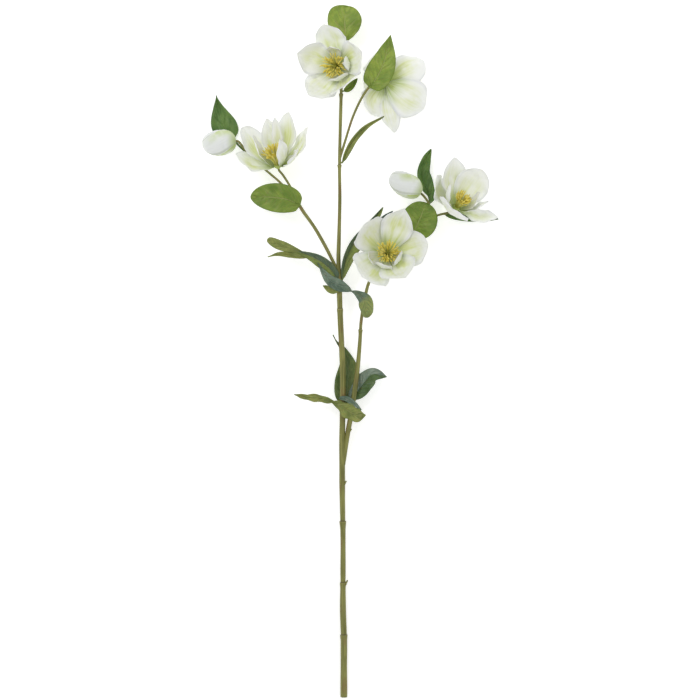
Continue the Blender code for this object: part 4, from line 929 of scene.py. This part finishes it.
def make_leaf(name, blades, looks):
    """The blades of a leaf, each with its own look, and the stalk that joins it to the stem."""
    sheets = Sheets()
    for number, blade in enumerate(blades):
        seed = sum(map(ord, name)) + 31 * number
        draw = random.Random(seed)
        rows = LEAF_ROWS if blade.half_width > SMALL_LEAF else LEAF_ROWS // 2
        places = 1 - (1 - np.linspace(0, 1, rows + 1)) ** LEAF_TIP_CROWDING
        across = np.linspace(-1, 1, LEAF_COLUMNS + 1)
        across = across * (1 - LEAF_RIM_CROWDING + LEAF_RIM_CROWDING * abs(across))
        vein_gap = draw.uniform(*VEIN_GAPS)

        def detail(s, t, half):
            groove = -GROOVE_DEPTH * np.exp(-((t * half / GROOVE_WIDTH) ** 2)) * (1 - s) ** 0.5
            puff = PUFF_HEIGHT * np.cos(math.tau * (vein_gap * s - VEIN_SLANT * abs(t)))
            puff = puff * np.sin(math.pi * abs(t)) * min(1.0, 5 * s)
            sway = SWAY_HEIGHT * ripple_noise(seed, 5, 0.7 * t, np.full_like(t, 0.6 * s)) * min(1.0, 3 * s)
            return groove + puff + sway

        grid = blade_grid(blade, places, across, LEAST_HALF_WIDTH, detail)
        slot = min(number, len(looks) - 1)
        mark = (draw.random(), vein_gap / 10)
        sheets.grid(grid, (across + 1) / 2, places[:, None], mark, slot=slot)
    leaf = sheets.object(f"{name}_look", looks, LEAF_THICKNESS)
    pieces = [leaf]
    if name not in CLASPING_LEAVES:
        stalks = Sheets()
        base = np.array(blades[0].spine[0])
        ahead = smooth_curve(blades[0].spine, (0.0, 0.06, 0.12))
        points = smooth_curve([nearest_on_stem(base), *ahead], np.linspace(0, 1, STALK_RINGS))
        add_tube(stalks, points, np.linspace(*STALK_RADII, STALK_RINGS), 10, mark=(0.2, 0.9))
        pieces.append(stalks.object(f"{name}_stalk_look", looks[:1]))
    for piece in pieces:
        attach(piece, "root")
    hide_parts(name)


class Nodes:
    """Short names for the shader nodes that the materials use."""

    def __init__(self, name):
        self.material = bpy.data.materials.new(name)
        self.material.use_nodes = True
        self.tree = self.material.node_tree
        self.shader = self.tree.nodes["Principled BSDF"]

    def put(self, socket, value):
        if isinstance(value, bpy.types.NodeSocket):
            self.tree.links.new(value, socket)
        else:
            socket.default_value = value

    def uv(self, name):
        node = self.tree.nodes.new("ShaderNodeUVMap")
        node.uv_map = name
        split = self.tree.nodes.new("ShaderNodeSeparateXYZ")
        self.tree.links.new(node.outputs["UV"], split.inputs[0])
        return split.outputs["X"], split.outputs["Y"]

    def place(self):
        return self.tree.nodes.new("ShaderNodeTexCoord").outputs["Object"]

    def combine(self, x, y, z=0.0):
        node = self.tree.nodes.new("ShaderNodeCombineXYZ")
        for socket, value in zip(node.inputs, (x, y, z)):
            self.put(socket, value)
        return node.outputs[0]

    def math(self, operation, a, b=0.5, c=0.5):
        node = self.tree.nodes.new("ShaderNodeMath")
        node.operation = operation
        for socket, value in zip(node.inputs, (a, b, c)):
            self.put(socket, value)
        return node.outputs[0]

    def times(self, a, b):
        return self.math("MULTIPLY", a, b)

    def from_middle(self, u):
        """0 at the middle of a blade and 1 at its rims."""
        return self.math("ABSOLUTE", self.math("MULTIPLY_ADD", u, 2.0, -1.0))

    def rise(self, value, low, high, to_low=0.0, to_high=1.0):
        """Smooth change from to_low to to_high while value goes from low to high."""
        node = self.tree.nodes.new("ShaderNodeMapRange")
        node.interpolation_type = "SMOOTHSTEP"
        for socket, given in zip(node.inputs, (value, low, high, to_low, to_high)):
            self.put(socket, given)
        return node.outputs[0]

    def noise(self, vector, scale, detail=2.0, roughness=0.5):
        node = self.tree.nodes.new("ShaderNodeTexNoise")
        self.put(node.inputs["Vector"], vector)
        self.put(node.inputs["Scale"], scale)
        self.put(node.inputs["Detail"], detail)
        self.put(node.inputs["Roughness"], roughness)
        return node.outputs["Fac"]

    def streaks(self, u, across, v, along, shift=0.0, detail=3.0):
        """Noise on a blade, with the place across and along it stretched by a number each."""
        return self.noise(self.combine(self.times(u, across), self.times(v, along), shift), 1.0, detail)

    def mix(self, factor, a, b):
        node = self.tree.nodes.new("ShaderNodeMix")
        node.data_type = "RGBA"
        for socket, value in zip((node.inputs[0], node.inputs[6], node.inputs[7]), (factor, a, b)):
            self.put(socket, (*value, 1.0) if isinstance(value, tuple) else value)
        return node.outputs[2]

    def bump(self, height, strength, distance):
        node = self.tree.nodes.new("ShaderNodeBump")
        self.put(node.inputs["Height"], height)
        node.inputs["Strength"].default_value = strength
        node.inputs["Distance"].default_value = distance
        self.tree.links.new(node.outputs[0], self.shader.inputs["Normal"])

    def set(self, **values):
        for label, value in values.items():
            self.put(self.shader.inputs[label.replace("_", " ")], value)


def petal_material():
    """Ivory white with a yellow-green flush that spreads from the base in streaks, and painted grey shade
    along the rims.
    """
    nodes = Nodes("petal white")
    u, v = nodes.uv("shape")
    own, flush = nodes.uv("mark")
    edge = nodes.from_middle(u)
    shift = nodes.times(own, 17.0)
    streaks = nodes.streaks(u, 15.0, v, 1.5, shift)
    cloud = nodes.streaks(u, 2.6, v, 2.4, shift, detail=2.0)
    middle = nodes.rise(edge, 0.15, 0.98, 1.0, 0.0)
    low = nodes.rise(v, 0.4, 1.0, 1.0, 0.05)
    patch = nodes.times(nodes.times(middle, low), nodes.rise(cloud, 0.34, 0.6, 0.3, 1.15))
    patch = nodes.times(patch, nodes.rise(streaks, 0.32, 0.66, 0.75, 1.4))
    patch = nodes.times(patch, flush)
    base = nodes.times(nodes.rise(v, 0.06, 0.46, 1.0, 0.0), nodes.rise(streaks, 0.3, 0.7, 0.6, 1.1))
    colour = nodes.mix(nodes.math("MINIMUM", patch, 1.0), PETAL_WHITE, FLUSH_GREEN)
    colour = nodes.mix(nodes.math("MINIMUM", base, 0.85), colour, BASE_GREEN)
    # Painted shade: the white turns grey in a band just inside the rims
    rim_shade = nodes.times(nodes.rise(edge, 0.8, 0.93), nodes.rise(edge, 0.93, 1.0, 1.0, 0.2))
    colour = nodes.mix(nodes.times(rim_shade, 0.3), colour, RIM_SHADE_GREY)
    nodes.set(Base_Color=colour, Roughness=nodes.rise(streaks, 0.3, 0.7, 0.5, 0.66))
    nodes.set(Specular_IOR_Level=0.3, Sheen_Weight=0.1)
    nodes.set(Subsurface_Weight=0.2, Subsurface_Scale=0.002, Subsurface_Radius=SCATTER)
    veins = nodes.streaks(u, 46.0, v, 4.5, shift)
    nodes.bump(nodes.math("ADD", veins, nodes.times(cloud, 1.4)), 0.4, 0.0004)
    return nodes.material


def green_material():
    nodes = Nodes("receptacle green")
    spots = nodes.noise(nodes.place(), 700.0, 3.0)
    nodes.set(Base_Color=nodes.mix(spots, *RECEPTACLE_GREENS), Roughness=0.55)
    nodes.bump(spots, 0.3, 0.0003)
    return nodes.material


def dark_boss_material():
    nodes = Nodes("boss olive")
    spots = nodes.noise(nodes.place(), 900.0, 3.0)
    nodes.set(Base_Color=nodes.mix(spots, *BOSS_OLIVES), Roughness=0.65)
    nodes.bump(spots, 0.5, 0.0004)
    return nodes.material


def stamen_material():
    """Lime filaments that turn golden towards grainy anthers."""
    nodes = Nodes("stamen gold")
    _, v = nodes.uv("shape")
    own, _ = nodes.uv("mark")
    grain = nodes.noise(nodes.place(), 1800.0, 3.0)
    thread = nodes.mix(own, *FILAMENT_LIMES)
    anther = nodes.mix(own, *ANTHER_GOLDS)
    anther = nodes.mix(nodes.rise(grain, 0.4, 0.7, 0.0, 0.4), anther, ANTHER_GRAIN)
    colour = nodes.mix(nodes.rise(v, 0.5, 0.8), thread, anther)
    colour = nodes.mix(nodes.rise(v, 0.05, 0.35, 0.7, 0.0), colour, FILAMENT_FOOT)
    nodes.set(Base_Color=colour, Roughness=0.6, Specular_IOR_Level=0.3)
    nodes.bump(grain, 0.5, 0.0002)
    return nodes.material


def carpel_material():
    nodes = Nodes("carpel green")
    _, v = nodes.uv("shape")
    grain = nodes.noise(nodes.place(), 1200.0, 2.0)
    colour = nodes.mix(nodes.rise(v, 0.2, 0.9), *CARPEL_GREENS)
    nodes.set(Base_Color=colour, Roughness=0.5)
    nodes.bump(grain, 0.3, 0.0002)
    return nodes.material


def bud_material():
    """Greyish white petals with painted shade in the crease where each one wraps over the next, and green
    flushes.
    """
    nodes = Nodes("bud white")
    u, v = nodes.uv("shape")
    streaks = nodes.streaks(u, 14.0, v, 2.0)
    cloud = nodes.noise(nodes.place(), 70.0, 2.0)
    green = nodes.times(nodes.rise(u, 0.45, 0.95), nodes.rise(cloud, 0.36, 0.6, 0.25, 1.0))
    green = nodes.times(green, nodes.rise(v, 0.55, 1.0, 1.0, 0.2))
    colour = nodes.mix(green, BUD_WHITE, BUD_FLUSH)
    colour = nodes.mix(nodes.rise(v, 0.02, 0.3, 0.8, 0.0), colour, BUD_BASE)
    # Painted shade: darker colour in the crease under the lip of each wrapped petal
    colour = nodes.mix(nodes.rise(u, 0.02, 0.12, 0.65, 0.0), colour, BUD_CREASE_SHADE)
    colour = nodes.mix(nodes.rise(streaks, 0.45, 0.75, 0.0, 0.25), colour, BUD_STREAK)
    nodes.set(Base_Color=colour, Roughness=0.58, Specular_IOR_Level=0.3, Sheen_Weight=0.1)
    nodes.set(Subsurface_Weight=0.15, Subsurface_Scale=0.002, Subsurface_Radius=SCATTER)
    nodes.bump(streaks, 0.5, 0.0006)
    return nodes.material


def leaf_material(name, look):
    """Leaf with a fine midrib, slanted side veins and soft clouds of colour.

    look.far tints its other half: the side past the midrib, or the end away from the stem if outer is set.
    """
    nodes = Nodes(f"leaf {name}")
    deep, light, rib, roughness, far, outer = look
    u, v = nodes.uv("shape")
    own, gap = nodes.uv("mark")
    edge = nodes.from_middle(u)
    shift = nodes.times(own, 23.0)
    wander = nodes.streaks(u, 4.0, v, 4.0, shift, detail=2.0)
    line = nodes.math("MULTIPLY_ADD", nodes.times(gap, 10.0), v, nodes.times(edge, -VEIN_SLANT))
    line = nodes.math("ADD", line, nodes.times(wander, 0.5))
    away = nodes.math("ABSOLUTE", nodes.math("SUBTRACT", nodes.math("FRACT", line), 0.5))
    vein = nodes.times(nodes.rise(away, 0.0, 0.1, 1.0, 0.0), nodes.rise(edge, 0.9, 0.4, 0.0, 1.0))
    middle = nodes.times(nodes.rise(edge, 0.015, 0.06, 1.0, 0.0), nodes.rise(v, 1.0, 0.6, 0.0, 1.0))
    cloud = nodes.noise(nodes.place(), 62.0, 4.0, 0.62)
    fleck = nodes.noise(nodes.place(), 900.0, 3.0)
    colour = nodes.mix(nodes.rise(cloud, 0.28, 0.72), deep, light)
    if far:
        split = nodes.math("MULTIPLY_ADD", wander, 0.2, v if outer else u)
        tint = nodes.mix(nodes.rise(cloud, 0.28, 0.72), tuple(0.7 * channel for channel in far), far)
        colour = nodes.mix(nodes.rise(split, 0.52, 0.66), colour, tint)
    streak = nodes.streaks(line, 2.2, edge, 1.5, shift)
    colour = nodes.mix(nodes.rise(streak, 0.48, 0.72, 0.0, 0.55), colour, deep)
    colour = nodes.mix(nodes.rise(streak, 0.5, 0.28, 0.0, 0.35), colour, rib)
    colour = nodes.mix(nodes.rise(fleck, 0.35, 0.7, 0.0, 0.3), colour, deep)
    colour = nodes.mix(nodes.times(vein, 0.22), colour, rib)
    colour = nodes.mix(nodes.times(middle, 0.6), colour, rib)
    colour = nodes.mix(nodes.rise(edge, 0.9, 1.0, 0.0, 0.45), colour, deep)
    nodes.set(Base_Color=colour, Roughness=nodes.rise(cloud, 0.3, 0.7, roughness - 0.06, roughness + 0.08))
    nodes.set(Specular_IOR_Level=0.4, Subsurface_Weight=0.08, Subsurface_Scale=0.0015)
    pucker = nodes.noise(nodes.place(), 420.0, 3.0)
    relief = nodes.math("SUBTRACT", nodes.times(pucker, 0.8), nodes.math("MAXIMUM", vein, middle))
    relief = nodes.math("ADD", relief, nodes.times(streak, 1.2))
    nodes.bump(relief, 0.7, 0.0007)
    return nodes.material


def stem_material():
    nodes = Nodes("stem olive")
    u, v = nodes.uv("shape")
    own, joint = nodes.uv("mark")
    shift = nodes.times(own, 9.0)
    around = nodes.math("SINE", nodes.times(u, 6.2832))
    fibre = nodes.streaks(around, 5.0, v, 3.0, shift, detail=4.0)
    cloud = nodes.streaks(around, 1.0, v, 4.0, shift)
    colour = nodes.mix(nodes.rise(fibre, 0.32, 0.68), *STEM_OLIVES)
    colour = nodes.mix(nodes.rise(cloud, 0.52, 0.72, 0.0, 0.6), colour, STEM_RUST)
    colour = nodes.mix(nodes.rise(joint, 0.45, 1.0, 0.0, 0.6), colour, JOINT_PALE)
    colour = nodes.mix(nodes.rise(joint, -0.9, -0.2, 0.8, 0.0), colour, JOINT_DARK)
    nodes.set(Base_Color=colour, Roughness=nodes.rise(fibre, 0.3, 0.7, 0.48, 0.66))
    nodes.bump(fibre, 0.6, 0.0005)
    return nodes.material


def floor_material():
    nodes = Nodes("pale floor")
    nodes.set(Base_Color=(0.86, 0.86, 0.86, 1.0), Roughness=0.9)
    nodes.set(Emission_Color=(1.0, 1.0, 1.0, 1.0), Emission_Strength=0.45)
    return nodes.material


def add_light(name, place, size, power):
    data = bpy.data.lights.new(name, "AREA")
    data.shape = "DISK"
    data.size = size
    data.energy = power
    lamp = bpy.data.objects.new(name, data)
    lamp.location = place
    lamp.rotation_euler = turn_to(np.array(LIGHT_AIM) - np.array(place))
    bpy.context.scene.collection.objects.link(lamp)


def turn_to(direction):
    """Rotation that turns a lamp's -Z to the direction."""
    x, y, z = unit(direction)
    return (math.acos(-z), 0.0, math.atan2(x, -y) if abs(x) + abs(y) > 1e-9 else 0.0)


def make_stage():
    """A pale floor, three soft lights and a white surround."""
    mesh = bpy.data.meshes.new("floor")
    signs = ((-1, -1), (1, -1), (1, 1), (-1, 1))
    corners = [(x * STAGE_REACH, y * STAGE_REACH, FLOOR_Z) for x, y in signs]
    mesh.from_pydata(corners, [], [(0, 1, 2, 3)])
    mesh.materials.append(floor_material())
    floor = bpy.data.objects.new("floor", mesh)
    bpy.context.scene.collection.objects.link(floor)
    for name, place, size, power in LIGHTS:
        add_light(name, place, size, power)
    world = bpy.data.worlds.new("studio")
    world.use_nodes = True
    background = world.node_tree.nodes["Background"]
    background.inputs["Color"].default_value = (1.0, 1.0, 1.0, 1.0)
    background.inputs["Strength"].default_value = WORLD_STRENGTH
    bpy.context.scene.world = world
    bpy.context.scene.view_settings.view_transform = "Standard"


def make_camera():
    data = bpy.data.cameras.new("camera")
    data.lens = LENS_MM
    data.sensor_width = SENSOR_MM
    camera = bpy.data.objects.new("camera", data)
    x, y, z = VIEW_CENTRE
    camera.location = (x, y, z + VIEW_WIDTH * LENS_MM / SENSOR_MM)
    bpy.context.scene.collection.objects.link(camera)
    bpy.context.scene.camera = camera


def main():
    make_camera()
    make_stage()
    petal, green, dark = petal_material(), green_material(), dark_boss_material()
    stamen, carpel, bud_look = stamen_material(), carpel_material(), bud_material()
    greens = {name: leaf_material(name, look) for name, look in LEAF_LOOKS.items()}
    make_stem(stem_material())
    for seed, (name, bloom) in enumerate(BLOOMS.items()):
        make_petals(name, bloom, petal, green)
        make_stamens(name, bloom, stamen, dark, seed)
        make_carpels(name, bloom, carpel)
    for name, bud in BUDS.items():
        make_bud(name, bud, bud_look)
    for name, blades in LEAVES.items():
        make_leaf(name, blades, [greens[look] for look in BLADE_LOOKS[name]])


main()
